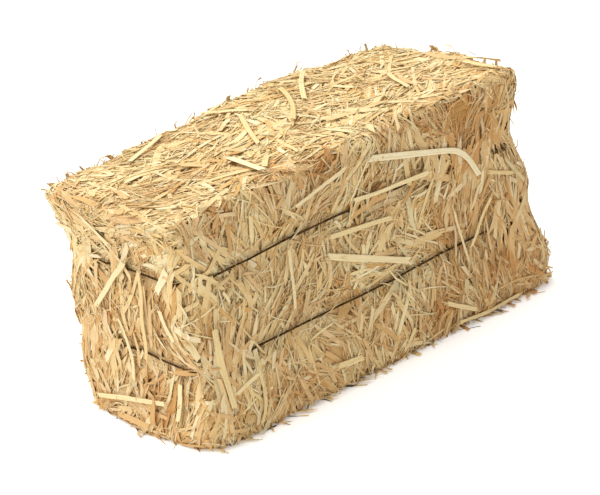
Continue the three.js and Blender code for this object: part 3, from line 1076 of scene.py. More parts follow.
@dataclass
class LayStraws:
    """Geometry Nodes tree that lays one kind of straw on one face of the guide."""

    sheet: NodeSheet = field(default_factory=lambda: geometry_sheet("lay straws", LAY_INPUTS))
    seed_step: float = 40000.0
    turn_power: float = 3.0
    length_power: float = 1.7
    width_power: float = 1.8
    clump_tint: float = 0.16
    least_gap: float = 0.1
    lowest: tuple[float, float, float] = (-9.0, -9.0, 0.0003)
    top_spread: float = 1.5
    floor_stick_out: float = 0.45
    floor_stick_reach: float = 13.0

    def build(self) -> None:
        """Builds the tree, with a named input for each size."""
        add = self.sheet.add
        for each in ("Guide", "Strip"):
            add(each, "GeometryNodeObjectInfo", {"Object": f"in:{each}"})
        for kind, names in LAY_ATTRIBUTES.items():
            for name in names:
                add(name, "GeometryNodeInputNamedAttribute", {"Name": name}, data_type=kind)
        for seed, (name, low) in enumerate(CHANCES.items()):
            feeds = {"Min_001": low, "Max_001": 1.0, "ID": "straw", "Seed": seed}
            add(f"{name} chance", "FunctionNodeRandomValue", feeds, data_type="FLOAT")
        self.add_points()
        self.add_route()
        self.add_height()
        self.add_surface()

    def add_points(self) -> None:
        """Adds where the straws start, which way each one points and how large it is."""
        sheet, add = self.sheet, self.sheet.add
        add("here", "FunctionNodeCompare", {"A_INT": "zone", "B_INT": "in:Zone"},
            data_type="INT", operation="EQUAL")
        add("points", "GeometryNodeDistributePointsOnFaces",
            {"Mesh": "Guide:Geometry", "Selection": "here", "Density": "in:Density", "Seed": "in:Seed"},
            distribute_method="RANDOM")
        add("index", "GeometryNodeInputIndex")
        add("position", "GeometryNodeInputPosition")
        sheet.add_sums(
            ("number", MATH, "MULTIPLY_ADD", "in:Seed", self.seed_step, "index"),
            ("turn", MATH, "POWER", "turn chance", self.turn_power),
            ("angle", MATH, "MULTIPLY", "turn", "in:Spread"),
            # Straws are short and narrow more often than long and broad.
            ("short", MATH, "POWER", "length chance", self.length_power),
            ("narrow", MATH, "POWER", "width chance", self.width_power),
        )
        add("turned", "ShaderNodeVectorRotate", {"Vector": "heading", "Axis": "outward", "Angle": "angle"},
            rotation_type="AXIS_ANGLE")
        add("length", "ShaderNodeMapRange",
            {"Value": "short", "To Min": "in:Shortest", "To Max": "in:Longest"})
        add("width", "ShaderNodeMapRange",
            {"Value": "narrow", "To Min": "in:Narrowest", "To Max": "in:Widest"})
        sheet.add_sums(("half length", MATH, "MULTIPLY", "length", 0.5))
        for end, sign in (("start", -1.0), ("end", 1.0)):
            sheet.add_sums(
                (f"to {end}", MATH, "MULTIPLY", "half length", sign),
                (f"{end} place", VECTOR, "MULTIPLY_ADD", "heading", f"to {end}", "position"),
            )
            add(f"{end} band", "GeometryNodeSampleNearestSurface",
                {"Mesh": "Guide:Geometry", "Value": "band", "Sample Position": f"{end} place"},
                data_type="FLOAT")
        # A straw crosses a twine where its ends lie in different bands.
        sheet.add_sums(
            ("bands apart", MATH, "SUBTRACT", "start band", "end band"),
            ("bands off", MATH, "ABSOLUTE", "bands apart"),
            ("crossing", MATH, "GREATER_THAN", "bands off", 0.5),
        )
        points = "points"
        for name, kind, value in (
            ("straw", "INT", "number"),
            ("heading", "FLOAT_VECTOR", "turned"),
            ("place", "FLOAT_VECTOR", "position"),
            ("crosses", "FLOAT", "crossing"),
        ):
            add(f"points with {name}", "GeometryNodeStoreNamedAttribute",
                {"Geometry": points, "Name": name, "Value": value}, data_type=kind, domain="POINT")
            points = f"points with {name}"
        # One strip for each point, made real before it is bent.
        add("copies", "GeometryNodeInstanceOnPoints", {"Points": points, "Instance": "Strip:Geometry"})
        add("straws", "GeometryNodeRealizeInstances", ("copies",))

    def add_route(self) -> None:
        """Adds the way of each straw over the guide, with its bow, its cut ends and its roll."""
        sheet, add = self.sheet, self.sheet.add
        sheet.add_sums(
            ("from middle", MATH, "SUBTRACT", "along", 0.5),
            ("half width", MATH, "MULTIPLY", "width", 0.5),
            ("slant", MATH, "MULTIPLY", "cut", "slant chance"),
            ("slanted", MATH, "MULTIPLY", "slant", "width"),
            ("reach", MATH, "MULTIPLY_ADD", "from middle", "length", "slanted"),
            ("squared", MATH, "MULTIPLY", "from middle", "from middle"),
            ("bow", MATH, "MULTIPLY", "bow chance", "in:Bow"),
            ("bow length", MATH, "MULTIPLY", "bow", "length"),
            ("bow at end", MATH, "MULTIPLY", "bow length", 4.0),
            ("bowed", MATH, "MULTIPLY", "squared", "bow at end"),
            ("sideways", VECTOR, "CROSS_PRODUCT", "outward", "heading"),
            ("onward", VECTOR, "MULTIPLY_ADD", "heading", "reach", "place"),
            ("straight", VECTOR, "MULTIPLY_ADD", "sideways", "bowed", "onward"),
        )
        # What runs past an edge is folded down over it by the same distance.
        add("nearest", "GeometryNodeProximity", {"Target": "Guide:Geometry", "Sample Position": "straight"},
            target_element="FACES")
        sheet.add_sums(
            ("fold", MATH, "MULTIPLY", "nearest:Distance", -1.0),
            ("folded", VECTOR, "MULTIPLY_ADD", "outward", "fold", "nearest:Position"),
        )
        add("laid", "GeometryNodeProximity", {"Target": "Guide:Geometry", "Sample Position": "folded"},
            target_element="FACES")
        for name, kind in GUIDE_SAMPLES.items():
            add(f"{name} there", "GeometryNodeSampleNearestSurface",
                {"Mesh": "Guide:Geometry", "Value": name, "Sample Position": "folded"}, data_type=kind)
        sheet.add_sums(
            ("normal", VECTOR, "NORMALIZE", "outward there"),
            ("facing", VECTOR, "DOT_PRODUCT", "heading", "normal"),
            ("facing twice", MATH, "MULTIPLY", "facing:Value", -2.0),
            ("run on", VECTOR, "MULTIPLY_ADD", "outward", "facing twice", "heading"),
            ("side raw", VECTOR, "CROSS_PRODUCT", "normal", "run on"),
            ("side", VECTOR, "NORMALIZE", "side raw"),
            ("run", VECTOR, "CROSS_PRODUCT", "side", "normal"),
            ("roll evenly", MATH, "MULTIPLY", "roll chance", "in:Roll"),
            ("twist", MATH, "MULTIPLY", "twist chance", "in:Twist"),
            ("roll", MATH, "MULTIPLY_ADD", "from middle", "twist", "roll evenly"),
        )
        for name in ("side", "normal"):
            add(f"rolled {name}", "ShaderNodeVectorRotate", {"Vector": name, "Axis": "run", "Angle": "roll"},
                rotation_type="AXIS_ANGLE")

    def add_height(self) -> None:
        """Adds the height over the guide. Only a straw that rides over a twine may cover it."""
        sheet, add = self.sheet, self.sheet.add
        sheet.add_sums(("sunk", MATH, "MULTIPLY", "in:Sink", -1.0))
        add("base", "ShaderNodeMapRange", {"Value": "lift chance", "To Min": "sunk", "To Max": "in:Rise"})
        sheet.add_sums(
            ("tip", MATH, "MULTIPLY", "tip chance", "in:Tip"),
            ("lift", MATH, "MULTIPLY_ADD", "from middle", "tip", "base"),
            ("over share", MATH, "ADD", "buried", "in:Over Twine"),
            ("rides", MATH, "LESS_THAN", "rides chance", "over share"),
            ("crossing rider", MATH, "MULTIPLY", "rides", "crosses"),
            ("under", MATH, "MINIMUM", "lift", "under_twine there"),
            ("beside", MATH, "MINIMUM", "lift", "beside_twine there"),
            ("over", MATH, "MAXIMUM", "lift", "bridge there"),
        )
        add("kept low", "ShaderNodeMix", {"Factor_Float": "crosses", "A_Float": "beside", "B_Float": "under"},
            data_type="FLOAT")
        add("height", "ShaderNodeMix",
            {"Factor_Float": "crossing rider", "A_Float": "kept low", "B_Float": "over"}, data_type="FLOAT")
        # A few straws near an edge run straight on past it and stick out.
        sheet.add_sums(
            ("laid centre", VECTOR, "MULTIPLY_ADD", "normal", "height", "laid:Position"),
            ("safe distance", MATH, "MAXIMUM", "nearest:Distance", self.least_gap * MM),
            ("reach share", MATH, "DIVIDE", "in:Stick Reach", "safe distance"),
            ("held", MATH, "MINIMUM", "reach share", 1.0),
            ("away", VECTOR, "SUBTRACT", "straight", "nearest:Position"),
            ("out", VECTOR, "MULTIPLY_ADD", "away", "held", "nearest:Position"),
            ("out centre", VECTOR, "MULTIPLY_ADD", "outward", "height", "out"),
            ("chosen", MATH, "LESS_THAN", "sticks chance", "in:Stick Out"),
        )
        add("sticks", MATH, ("chosen", "crosses"), operation="SUBTRACT", use_clamp=True)
        add("centre", "ShaderNodeMix",
            {"Factor_Float": "sticks", "A_Vector": "laid centre", "B_Vector": "out centre"},
            data_type="VECTOR")

    def add_surface(self) -> None:
        """Adds the cross-section and what the material needs."""
        sheet, add = self.sheet, self.sheet.add
        sheet.add_sums(
            ("half body", MATH, "MULTIPLY", "half width", "body"),
            ("sidestep", MATH, "MULTIPLY", "across", "half body"),
            ("half thick", MATH, "MULTIPLY", "in:Thickness", 0.5),
            ("thick", MATH, "MULTIPLY", "up", "half thick"),
            ("widened", VECTOR, "MULTIPLY_ADD", "rolled side", "sidestep", "centre"),
            ("anywhere", VECTOR, "MULTIPLY_ADD", "rolled normal", "thick", "widened"),
            ("vertex", VECTOR, "MAXIMUM", "anywhere", self.lowest),
            ("sunken", MATH, "ADD", "height", "shade_depth there"),
            ("laid share", MATH, "SUBTRACT", 1.0, "sticks"),
            ("depth", MATH, "MULTIPLY", "sunken", "laid share"),
        )
        # Metres across and along the grain, a colour for each straw, and its depth, which the material
        # darkens as painted shade.
        add("grain", "ShaderNodeCombineXYZ", ("sidestep", "reach", "tint chance"))
        add("tint", MATH, ("clump_tint", self.clump_tint, "tint chance"),
            operation="MULTIPLY_ADD", use_clamp=True)
        straws = "straws"
        for name, kind in (("grain", "FLOAT_VECTOR"), ("tint", "FLOAT"), ("depth", "FLOAT")):
            add(f"straws with {name}", "GeometryNodeStoreNamedAttribute",
                {"Geometry": straws, "Name": name, "Value": name}, data_type=kind, domain="POINT")
            straws = f"straws with {name}"
        add("bent", "GeometryNodeSetPosition", {"Geometry": straws, "Position": "vertex"})
        sheet.add_ending("bent", "in:Smooth")

    def lay(self, layer: StrawLayer, zone: Zone, tools: dict, seed: int) -> bpy.types.Object:
        """Lays one layer on one face.

        Args:
            layer: The kind of straw.
            zone: The face that gets it.
            tools: The guide, the strip and the material, by input name.
            seed: Fixed seed of this face and layer.

        Returns:
            A plain mesh object.
        """
        # The top is the least combed face, and at the floor more straws stick out.
        spread = layer.spread * (self.top_spread if zone == Zone.TOP else 1.0)
        stick_out, stick_reach = layer.stick_out, layer.stick_reach
        if zone == Zone.UNDERSIDE:
            stick_out = max(stick_out, self.floor_stick_out)
            stick_reach = max(stick_reach, self.floor_stick_reach)
        values = {
            **tools,
            "Zone": int(zone),
            "Density": layer.per_square_metre * layer.shares[zone],
            "Seed": seed,
            "Shortest": layer.length[0] * MM,
            "Longest": layer.length[1] * MM,
            "Narrowest": layer.width[0] * MM,
            "Widest": layer.width[1] * MM,
            "Thickness": layer.thickness * MM,
            "Spread": math.radians(spread),
            "Sink": layer.sink * MM,
            "Rise": layer.rise * MM,
            "Tip": layer.tip * MM,
            "Bow": layer.bow,
            "Roll": math.radians(layer.roll),
            "Twist": math.radians(layer.twist),
            "Over Twine": layer.over_twine,
            "Stick Out": stick_out,
            "Stick Reach": stick_reach * MM,
            "Smooth": layer.smooth,
        }
        piece = run_tree(self.sheet.tree, f"{layer.name}_{zone.name.lower()}", values)
        self.tidy(piece.data, layer.strip)
        return piece

    def tidy(self, mesh: bpy.types.Mesh, strip: StrawStrip) -> None:
        """Spreads the straws over the bake map and drops the attributes that only the tree needs.

        Args:
            mesh: Mesh of the laid straws.
            strip: The strip that each straw was made from.
        """
        corners = len(strip.section.value)
        loops_each = 4 * corners * (len(strip.stations) - 1) + 2 * corners
        side = math.ceil(math.sqrt(len(mesh.loops) // loops_each))
        chart = mesh.uv_layers[BAKE_MAP]
        places = np.zeros(len(mesh.loops) * 2, np.float32)
        chart.uv.foreach_get("vector", places)
        places = places.reshape(-1, 2) * 0.88 + 0.06
        number = np.arange(len(mesh.loops)) // loops_each
        places[:, 0] = (places[:, 0] + number % side) / side
        places[:, 1] = (places[:, 1] + number // side) / side
        chart.uv.foreach_set("vector", places.ravel())
        kept = {"position", "grain", "tint", "depth", "brown", "material_index", "sharp_face", BAKE_MAP}
        for name in [attribute.name for attribute in mesh.attributes]:
            if name not in kept and not name.startswith("."):
                mesh.attributes.remove(mesh.attributes[name])
        mesh.update()


# Finishes


@dataclass(frozen=True)
class StrawFinish:
    """Dry cut wheat straw, flattened by the baler.

    Stems are pale gold outside with a thin waxy skin, which gives a faint gloss, and fine lengthwise
    ribs under a millimetre wide. Straws differ from cream to tan, and some are brown or greenish.
    """

    name: str = "dry_wheat_straw"
    palette: tuple[tuple[float, str], ...] = (
        (0.0, "#CBA367"),
        (0.05, "#D5B47B"),
        (0.16, "#DDC089"),
        (0.36, "#E2CA95"),
        (0.6, "#E5D09E"),
        (0.76, "#E8D8AD"),
        (0.84, "#EBDDB8"),
        (0.85, "#DFD2A8"),
        (0.95, "#D3C69A"),
        (0.96, "#E0C598"),
        (1.0, "#D8B583"),
    )
    # Painted shade: deep straws are mixed towards this brown, the more the deeper they lie.
    deep_shade_colour: str = "#C08C4C"
    deep_share: float = 0.75
    deepest: float = -9.5
    shallowest: float = -2.0
    brown_colour: str = "#BE8A50"
    pale_keeps: float = 1.3
    streak_dark: str = "#DEC492"
    streak_share: float = 0.32
    streak_range: tuple[float, float] = (0.35, 0.7)
    roughness: float = 0.68
    specular: float = 0.15
    rib_width: float = 0.7
    streak_length: float = 22.0
    # How far the noise of one straw lies from the next one's, in the noise's own units.
    straws_apart: float = 90.0
    bump: float = 0.12
    bump_strength: float = 0.8

    def material(self) -> bpy.types.Material:
        """Builds the material.

        Returns:
            A material that reads the tint, grain, depth and brown attributes of the straws.
        """
        made = bpy.data.materials.new(self.name)
        add = shader_sheet(made).add
        for name in ("tint", "grain", "depth", "brown"):
            add(name, "ShaderNodeAttribute", attribute_name=name)
        fill_ramp(add("ramp", "ShaderNodeValToRGB", ("tint:Fac",)), self.palette)
        # Lengthwise ribs and streaks, far longer than wide.
        scale = (1 / (self.rib_width * MM), 1 / (self.streak_length * MM), self.straws_apart)
        add("stretched", "ShaderNodeMapping", {"Vector": "grain:Vector", "Scale": scale})
        add("streaks", "ShaderNodeTexNoise", {"Vector": "stretched", "Scale": 1.0, "Detail": 2.0})
        low, high = self.streak_range
        add("streaked", "ShaderNodeMapRange",
            {"Value": "streaks:Fac", "From Min": low, "From Max": high, "To Min": 0.0,
             "To Max": self.streak_share})
        # Straws that lie deep are browner and darker: painted shade between the straws.
        add("deep", "ShaderNodeMapRange",
            {"Value": "depth:Fac", "From Min": self.deepest * MM, "From Max": self.shallowest * MM,
             "To Min": self.deep_share, "To Max": 0.0})
        # The palest straws stay pale in a brown patch, as they do on the bale.
        add("darker", MATH, (self.pale_keeps, "tint:Fac"), operation="SUBTRACT")
        add("unevenly", MATH, ("brown:Fac", "darker"), operation="MULTIPLY", use_clamp=True)
        colour = "ramp:Color"
        for name, share, other, blend in (
            ("with streaks", "streaked", self.streak_dark, "MULTIPLY"),
            ("with brown", "unevenly", self.brown_colour, "MIX"),
            ("with depth", "deep", self.deep_shade_colour, "MIX"),
        ):
            add(name, "ShaderNodeMix", {"Factor_Float": share, "A_Color": colour, "B_Color": linear(other)},
                data_type="RGBA", blend_type=blend)
            colour = name
        add("bump", "ShaderNodeBump",
            {"Height": "streaks:Fac", "Distance": self.bump * MM, "Strength": self.bump_strength})
        add("shader", "ShaderNodeBsdfPrincipled",
            {"Base Color": colour, "Roughness": self.roughness, "Specular IOR Level": self.specular,
             "Normal": "bump"})
        add("out", "ShaderNodeOutputMaterial", {"Surface": "shader"})
        return made


@dataclass(frozen=True)
class FibreFinish:
    """Matt mass or strand of fibres: lines of two colours, each as wide and long as a real fibre."""

    name: str
    # The colours, and where each one starts on the noise from 0 to 1.
    stops: tuple[tuple[float, str], ...]
    # Size of a fibre in millimetres along the axes of its coordinates.
    fibre: tuple[float, float, float]
    # The coordinates: the object's own, or the grain attribute of a strand.
    on_grain: bool
    detail: float
    bump: float
    roughness: float
    specular: float

    def material(self) -> bpy.types.Material:
        """Builds the material.

        Returns:
            A matt material with fibres.
        """
        made = bpy.data.materials.new(self.name)
        add = shader_sheet(made).add
        if self.on_grain:
            add("place", "ShaderNodeAttribute", attribute_name="grain")
        else:
            add("place", "ShaderNodeTexCoord")
        where = "place:Vector" if self.on_grain else "place:Object"
        scale = tuple(1 / (size * MM) for size in self.fibre)
        add("stretched", "ShaderNodeMapping", {"Vector": where, "Scale": scale})
        add("fibres", "ShaderNodeTexNoise", {"Vector": "stretched", "Scale": 1.0, "Detail": self.detail})
        fill_ramp(add("ramp", "ShaderNodeValToRGB", ("fibres:Fac",)), self.stops)
        add("bump", "ShaderNodeBump", {"Height": "fibres:Fac", "Distance": self.bump * MM})
        add("shader", "ShaderNodeBsdfPrincipled",
            {"Base Color": "ramp:Color", "Roughness": self.roughness, "Specular IOR Level": self.specular,
             "Normal": "bump"})
        add("out", "ShaderNodeOutputMaterial", {"Surface": "shader"})
        return made


# Dense mass of pressed straw behind the outer straws: fibrous, and dull dark brown as painted shade between
# the straws. Its fibres run the length of the bale, twelve times as long as wide.
PRESSED_STRAW_SHADE = FibreFinish(
    "pressed_straw_mass", ((0.3, "#9A6C34"), (0.7, "#C4964E")), (19.2, 1.6, 1.6),
    on_grain=False, detail=3.0, bump=1.2, roughness=0.85, specular=0.5,
)
# Sisal baling twine, treated and weathered dark brown. Each ply is spun from coarse matt fibres under a
# millimetre wide, so it shows fine slanting lines and a little fuzz, and hardly any gloss.
SISAL_TWINE = FibreFinish(
    "dark_sisal_twine", ((0.35, "#2C1D0E"), (0.75, "#6A4E2C")), (0.35, 6.0, 20.0),
    on_grain=True, detail=2.0, bump=0.1, roughness=0.9, specular=0.1,
)


# Sub-assemblies


@dataclass
class StrawBlock:
    """The pressed block: a closed core and the straws laid on its six faces."""

    surface: GuideSurface
    layers: tuple[StrawLayer, ...] = STRAW_LAYERS
    finish: StrawFinish = StrawFinish()
    core_finish: FibreFinish = PRESSED_STRAW_SHADE

    def build(self) -> None:
        """Makes the core and every layer, and removes the guide."""
        guide = self.surface.build()
        # The core's dark brown is painted shade behind the laid straws.
        core = mesh_object("packed_straw_core", self.surface.core_points, self.surface.core_faces)
        core.data.shade_smooth()
        finish_piece(core, "straw", self.core_finish.material(), BLOCK_NODE)
        laying = LayStraws()
        laying.build()
        material = self.finish.material()
        for number, layer in enumerate(self.layers):
            strip = layer.strip.build()
            tools = {"Guide": guide, "Strip": strip, "Finish": material}
            for zone in Zone:
                piece = laying.lay(layer, zone, tools, 1 + int(zone) + 10 * number)
                finish_piece(piece, "straw", material, BLOCK_NODE)
            bpy.data.objects.remove(strip)
        bpy.data.objects.remove(guide)


def squared_to(sides: np.ndarray, tangents: np.ndarray) -> np.ndarray:
    """Turns each side as little as it takes to be square to its tangent."""
    return unit(sides - (sides * tangents).sum(1, keepdims=True) * tangents)


def route_lengths(centres: np.ndarray) -> np.ndarray:
    """Distance along a line of points, from its start."""
    return np.concatenate([[0], np.cumsum(np.linalg.norm(np.diff(centres, axis=0), axis=1))])


@dataclass(frozen=True)
class StalkRoute:
    """Middle line of one loose stalk, with the way that its flat side faces."""

    centres: np.ndarray
    sides: np.ndarray
    normals: np.ndarray
    widths: np.ndarray

    @classmethod
    def of_node(cls, node: bpy.types.Object) -> "StalkRoute":
        """Reads the route from a CAD stalk, which is a flat bar with four corners at each station.

        Args:
            node: The CAD node's object.

        Returns:
            The route in millimetres.
        """
        work = bmesh.new()
        work.from_mesh(node.data)
        bmesh.ops.remove_doubles(work, verts=work.verts, dist=1e-6)
        work.verts.ensure_lookup_table()
        points = np.array([list(vertex.co) for vertex in work.verts]) / MM
        beside = [{edge.other_vert(vertex).index for edge in vertex.link_edges} for vertex in work.verts]
        work.free()
        middle = points.mean(0)
        long_axis = np.linalg.svd(points - middle)[2][0]
        tip = int(np.argmin((points - middle) @ long_axis))
        ring = set(np.argsort(np.linalg.norm(points - points[tip], axis=1))[:4].tolist())
        seen, rings = set(ring), [sorted(ring)]
        while ring:
            ring = set().union(*(beside[v] for v in ring)) - seen
            seen |= ring
            if ring:
                rings.append(sorted(ring))
        return cls.of_rings([points[ring] for ring in rings])

    @classmethod
    def of_rings(cls, rings: list[np.ndarray]) -> "StalkRoute":
        """Works out the route from the corners at each station.

        Args:
            rings: Corner points of each station, from one end to the other.

        Returns:
            The route in millimetres.
        """
        centres = np.array([ring.mean(0) for ring in rings])
        tangents = unit(np.gradient(centres, axis=0))
        sides, widths = [], []
        for ring, centre in zip(rings, centres):
            spread = np.linalg.svd(ring - centre)[2][0]
            if sides and spread @ sides[-1] < 0:
                spread = -spread
            sides.append(spread)
            widths.append(np.ptp((ring - centre) @ spread))
        # The narrow ends may be about as thick as wide, so they take their neighbour's direction.
        for values in (sides, widths):
            values[0], values[-1] = values[1], values[-2]
        sides = squared_to(np.array(sides), tangents)
        normals = np.cross(sides, tangents)
        bale_middle = np.array([0, 0, 140])
        if (normals * (centres - bale_middle)).sum() < 0:
            sides, normals = -sides, -normals
        return cls(centres, sides, normals, np.array(widths))

    def resampled(self, count: int) -> "StalkRoute":
        """The same route on a smooth curve with more stations.

        Args:
            count: Number of stations.

        Returns:
            The finer route.
        """
        along = route_lengths(self.centres)
        at = np.linspace(0, along[-1], count)
        index = np.clip(np.searchsorted(along, at, side="right") - 1, 0, len(along) - 2)
        step = (along[index + 1] - along[index])[:, None]
        share = (at - along[index])[:, None] / step
        slopes = np.gradient(self.centres, along, axis=0)
        h00, h10 = 2 * share**3 - 3 * share**2 + 1, share**3 - 2 * share**2 + share
        h01, h11 = 3 * share**2 - 2 * share**3, share**3 - share**2
        centres = h00 * self.centres[index] + h10 * step * slopes[index]
        centres = centres + h01 * self.centres[index + 1] + h11 * step * slopes[index + 1]
        tangents = unit(np.gradient(centres, axis=0))
        sides = squared_to(self.sides[index] * (1 - share) + self.sides[index + 1] * share, tangents)
        return StalkRoute(centres, sides, np.cross(sides, tangents), np.interp(at, along, self.widths))

    def softened(self, passes: int) -> "StalkRoute":
        """The same route with its folds rounded.

        Args:
            passes: How many times each station moves towards its neighbours.

        Returns:
            The softer route.
        """
        centres = self.centres.copy()
        for _ in range(passes):
            centres[1:-1] = (centres[:-2] + 2 * centres[1:-1] + centres[2:]) / 4
        tangents = unit(np.gradient(centres, axis=0))
        sides = squared_to(self.sides, tangents)
        return StalkRoute(centres, sides, np.cross(sides, tangents), self.widths)


@dataclass(frozen=True)
class LooseStraws:
    """The loose stalks and blades on the bale, each a flattened hollow straw with torn ends."""

    rings: int = 28
    thickness: float = 1.1
    underside: float = 0.8
    groove: float = 0.3
    groove_reach: float = 0.3
    rib: float = 0.07
    ribs: int = 5
    crinkle: float = 0.22
    crinkle_span: float = 9.0
    flare: float = 0.06
    flare_span: float = 7.0
    slope: float = 0.9
    tear: float = 1.6
    tear_points: int = 5
    hollow_depth: float = 4.0
    hollow_share: float = 0.72
    width_share: float = 0.78
    lift: float = 1.5
    softening: int = 12
    slivers_each_end: int = 3
    sliver_length: tuple[float, float] = (4.0, 13.0)
    sliver_root: float = 3.0
    sliver_width: float = 0.9
    sliver_thickness: float = 0.5
    # Where slivers start across the end, how far they turn aside, and how far they curl up.
    sliver_places: tuple[float, float] = (0.12, 0.88)
    sliver_turn: tuple[float, float] = (-0.35, 0.35)
    sliver_curl: tuple[float, float] = (-0.12, 0.22)
    # Share of the length, and share of the width there, at each station of a sliver.
    sliver_taper: tuple[tuple[float, float], ...] = ((0.0, 1.0), (0.55, 0.8), (1.0, 0.25))
    stations: tuple[float, ...] = (-1.0, -0.8, -0.45, -0.15, 0.15, 0.45, 0.8, 1.0, 0.6, 0.2, -0.2, -0.6)
    upper_stations: int = 8
    first_seed: int = 300
    pale_tints: tuple[float, float] = (0.62, 0.84)
    plain_tints: tuple[float, float] = (0.2, 0.78)
    finish: StrawFinish = StrawFinish("loose_flattened_straw")
    pale_finish: StrawFinish = StrawFinish("pale_flattened_straw")

    def build(self, nodes: dict[str, bpy.types.Object]) -> None:
        """Makes one detailed straw for each CAD stalk and blade.

        Args:
            nodes: The CAD nodes by name.
        """
        plain, light = ("loose_straw", self.finish), ("pale_straw", self.pale_finish)
        kinds = [(slot, finish.material()) for slot, finish in (plain, light)]
        for number, name in enumerate(sorted(set(nodes) - {BLOCK_NODE, *TWINE_NODES})):
            route = StalkRoute.of_node(nodes[name]).resampled(self.rings).softened(self.softening)
            pale = name.startswith("pale_")
            piece = self.straw(f"{name}_straw", route, self.first_seed + number, pale)
            finish_piece(piece, *kinds[pale], name)

    def straw(self, name: str, route: StalkRoute, seed: int, pale: bool) -> bpy.types.Object:
        """Makes one flattened straw on its route.

        Args:
            name: Name of the piece.
            route: Its middle line.
            seed: Fixed seed for its tears and crinkles.
            pale: Whether it is one of the palest blades.

        Returns:
            A closed mesh object.
        """
        chance = np.random.default_rng(seed)
        around, last = len(self.stations), self.rings - 1
        across = np.array(self.stations)
        lens = self.thickness / 2 * (1 - abs(across) ** 3)
        upper = lens + self.rib * np.cos(across * self.ribs * math.pi)
        upper = upper - self.groove * bell(across, self.groove_reach)
        section = np.where(np.arange(around) < self.upper_stations, upper, -lens * self.underside)
        crinkle = self.crinkle * np.sin(np.linspace(0, self.crinkle_span, self.rings) + chance.uniform(0, 6))
        flare = 1 + self.flare * np.sin(np.linspace(0, self.flare_span, self.rings) + chance.uniform(0, 6))
        half = route.widths / 2 * flare * self.width_share
        tangents = np.cross(route.normals, route.sides)
        cuts = np.zeros((self.rings, around))
        for ring, sign in ((0, -1), (last, 1)):
            slope = chance.uniform(-self.slope, self.slope) * half[ring]
            jag = self.tear * chance.uniform(-1, 0.6, self.tear_points)
            cuts[ring] = slope * across + sign * np.interp(across, np.linspace(-1, 1, self.tear_points), jag)
        sidesteps = half[:, None] * across
        points = (
            route.centres[:, None]
            + route.sides[:, None] * sidesteps[..., None]
            + route.normals[:, None] * (section + crinkle[:, None] + self.lift)[..., None]
            + tangents[:, None] * cuts[..., None]
        )
        lengths = np.broadcast_to(route_lengths(route.centres)[:, None], cuts.shape)
        grain = np.stack([sidesteps, lengths, cuts * 0], -1)
        rows, grains = list(points), list(grain)
        # Both ends are open, as a cut straw is: the rim turns in to a hollow.
        for ring, sign in ((0, -1), (last, 1)):
            centre = points[ring].mean(0)
            inner = centre + (points[ring] - centre) * self.hollow_share
            rows.insert(0 if sign < 0 else len(rows), inner - sign * tangents[ring] * self.hollow_depth)
            grains.insert(0 if sign < 0 else len(grains), grain[ring])
        split_points, split_faces = self.slivers(points, tangents, chance)
        faces = ring_faces(len(rows), around)
        faces += [[index + len(rows) * around for index in face] for face in split_faces]
        grains.append(np.stack([split_points[:, 0], split_points[:, 2], split_points[:, 1] * 0], -1))
        piece = mesh_object(name, np.concatenate(rows + [split_points]), faces)
        tint = chance.uniform(*(self.pale_tints if pale else self.plain_tints))
        values = np.concatenate(grains) * MM
        values[:, 2] = tint
        count = len(values)
        set_attributes(piece.data, "POINT", grain=values, tint=np.full(count, tint), depth=np.zeros(count))
        face_outwards(piece.data)
        return piece

    def slivers(self, points: np.ndarray, tangents: np.ndarray, chance: np.random.Generator) -> tuple:
        """Makes the split fibres at both ends of a straw.

        Args:
            points: Corner points of the straw, by station.
            tangents: Direction of the straw at each station.
            chance: Source of the random sizes.

        Returns:
            Points in millimetres, and the faces of one closed prism for each sliver.
        """
        made, faces = [], []
        for ring, sign in ((1, -1.0), (self.rings - 2, 1.0)):
            edge = points[ring, self.upper_stations - 1] - points[ring, 0]
            side = unit(edge)
            for _ in range(self.slivers_each_end):
                start = points[ring, 0] + edge * chance.uniform(*self.sliver_places)
                way = unit(sign * tangents[ring] + side * chance.uniform(*self.sliver_turn))
                up = np.cross(side, way) * chance.uniform(*self.sliver_curl)
                length = chance.uniform(*self.sliver_length) + self.sliver_root
                faces += [[index + len(made) for index in face] for face in ring_faces(3, 3)]
                for share, width in self.sliver_taper:
                    middle = start + way * length * share + up * length * share**2
                    reach = side * self.sliver_width / 2 * width
                    ridge = middle + np.cross(way, side) * self.sliver_thickness * width
                    made += [middle - reach, middle + reach, ridge]
        return np.array(made), faces


def face_outwards(mesh: bpy.types.Mesh) -> None:
    """Turns the faces of a closed mesh outwards.

    Args:
        mesh: The mesh, changed in place.
    """
    work = bmesh.new()
    work.from_mesh(mesh)
    bmesh.ops.recalc_face_normals(work, faces=work.faces)
    work.to_mesh(mesh)
    work.free()


@dataclass(frozen=True)
class TwineShape:
    """Sizes of the twisted twine, in millimetres."""

    diameter: float = 2.6
    clearance: float = 0.35
    # Over the pressed groove, so that the twine bulges out as a tight one does over straw.
    rest_share: float = 1.2
    sway: float = 0.5
    steps_each_side: int = 120
    plies: int = 3
    ply_radius: float = 0.72
    ply_offset: float = 0.66
    pitch: float = 10.5
    step: float = 1.9
    sides: int = 6
    tail: float = 15.0
    # The tail's way along the twine, outwards and down, its sag, its bend, and where it frays.
    tail_way: tuple[float, float, float] = (0.55, 0.42, 0.8)
    tail_sag: float = 2.4
    tail_bend: float = 1.5
    tail_points: int = 14
    fray_from: float = 0.55
    fray_power: float = 1.5
    fray: float = 2.4
    # The knot is a trefoil, stretched along the twine and flattened against the straw.
    knot_size: float = 0.9
    knot_stretch: float = 1.2
    knot_height: float = 1.2
    knot_lift: float = 0.6
    knot_points: int = 40

    @property
    def rest(self) -> float:
        """How far its middle lies off the pressed groove."""
        return (self.diameter / 2 + self.clearance) * self.rest_share


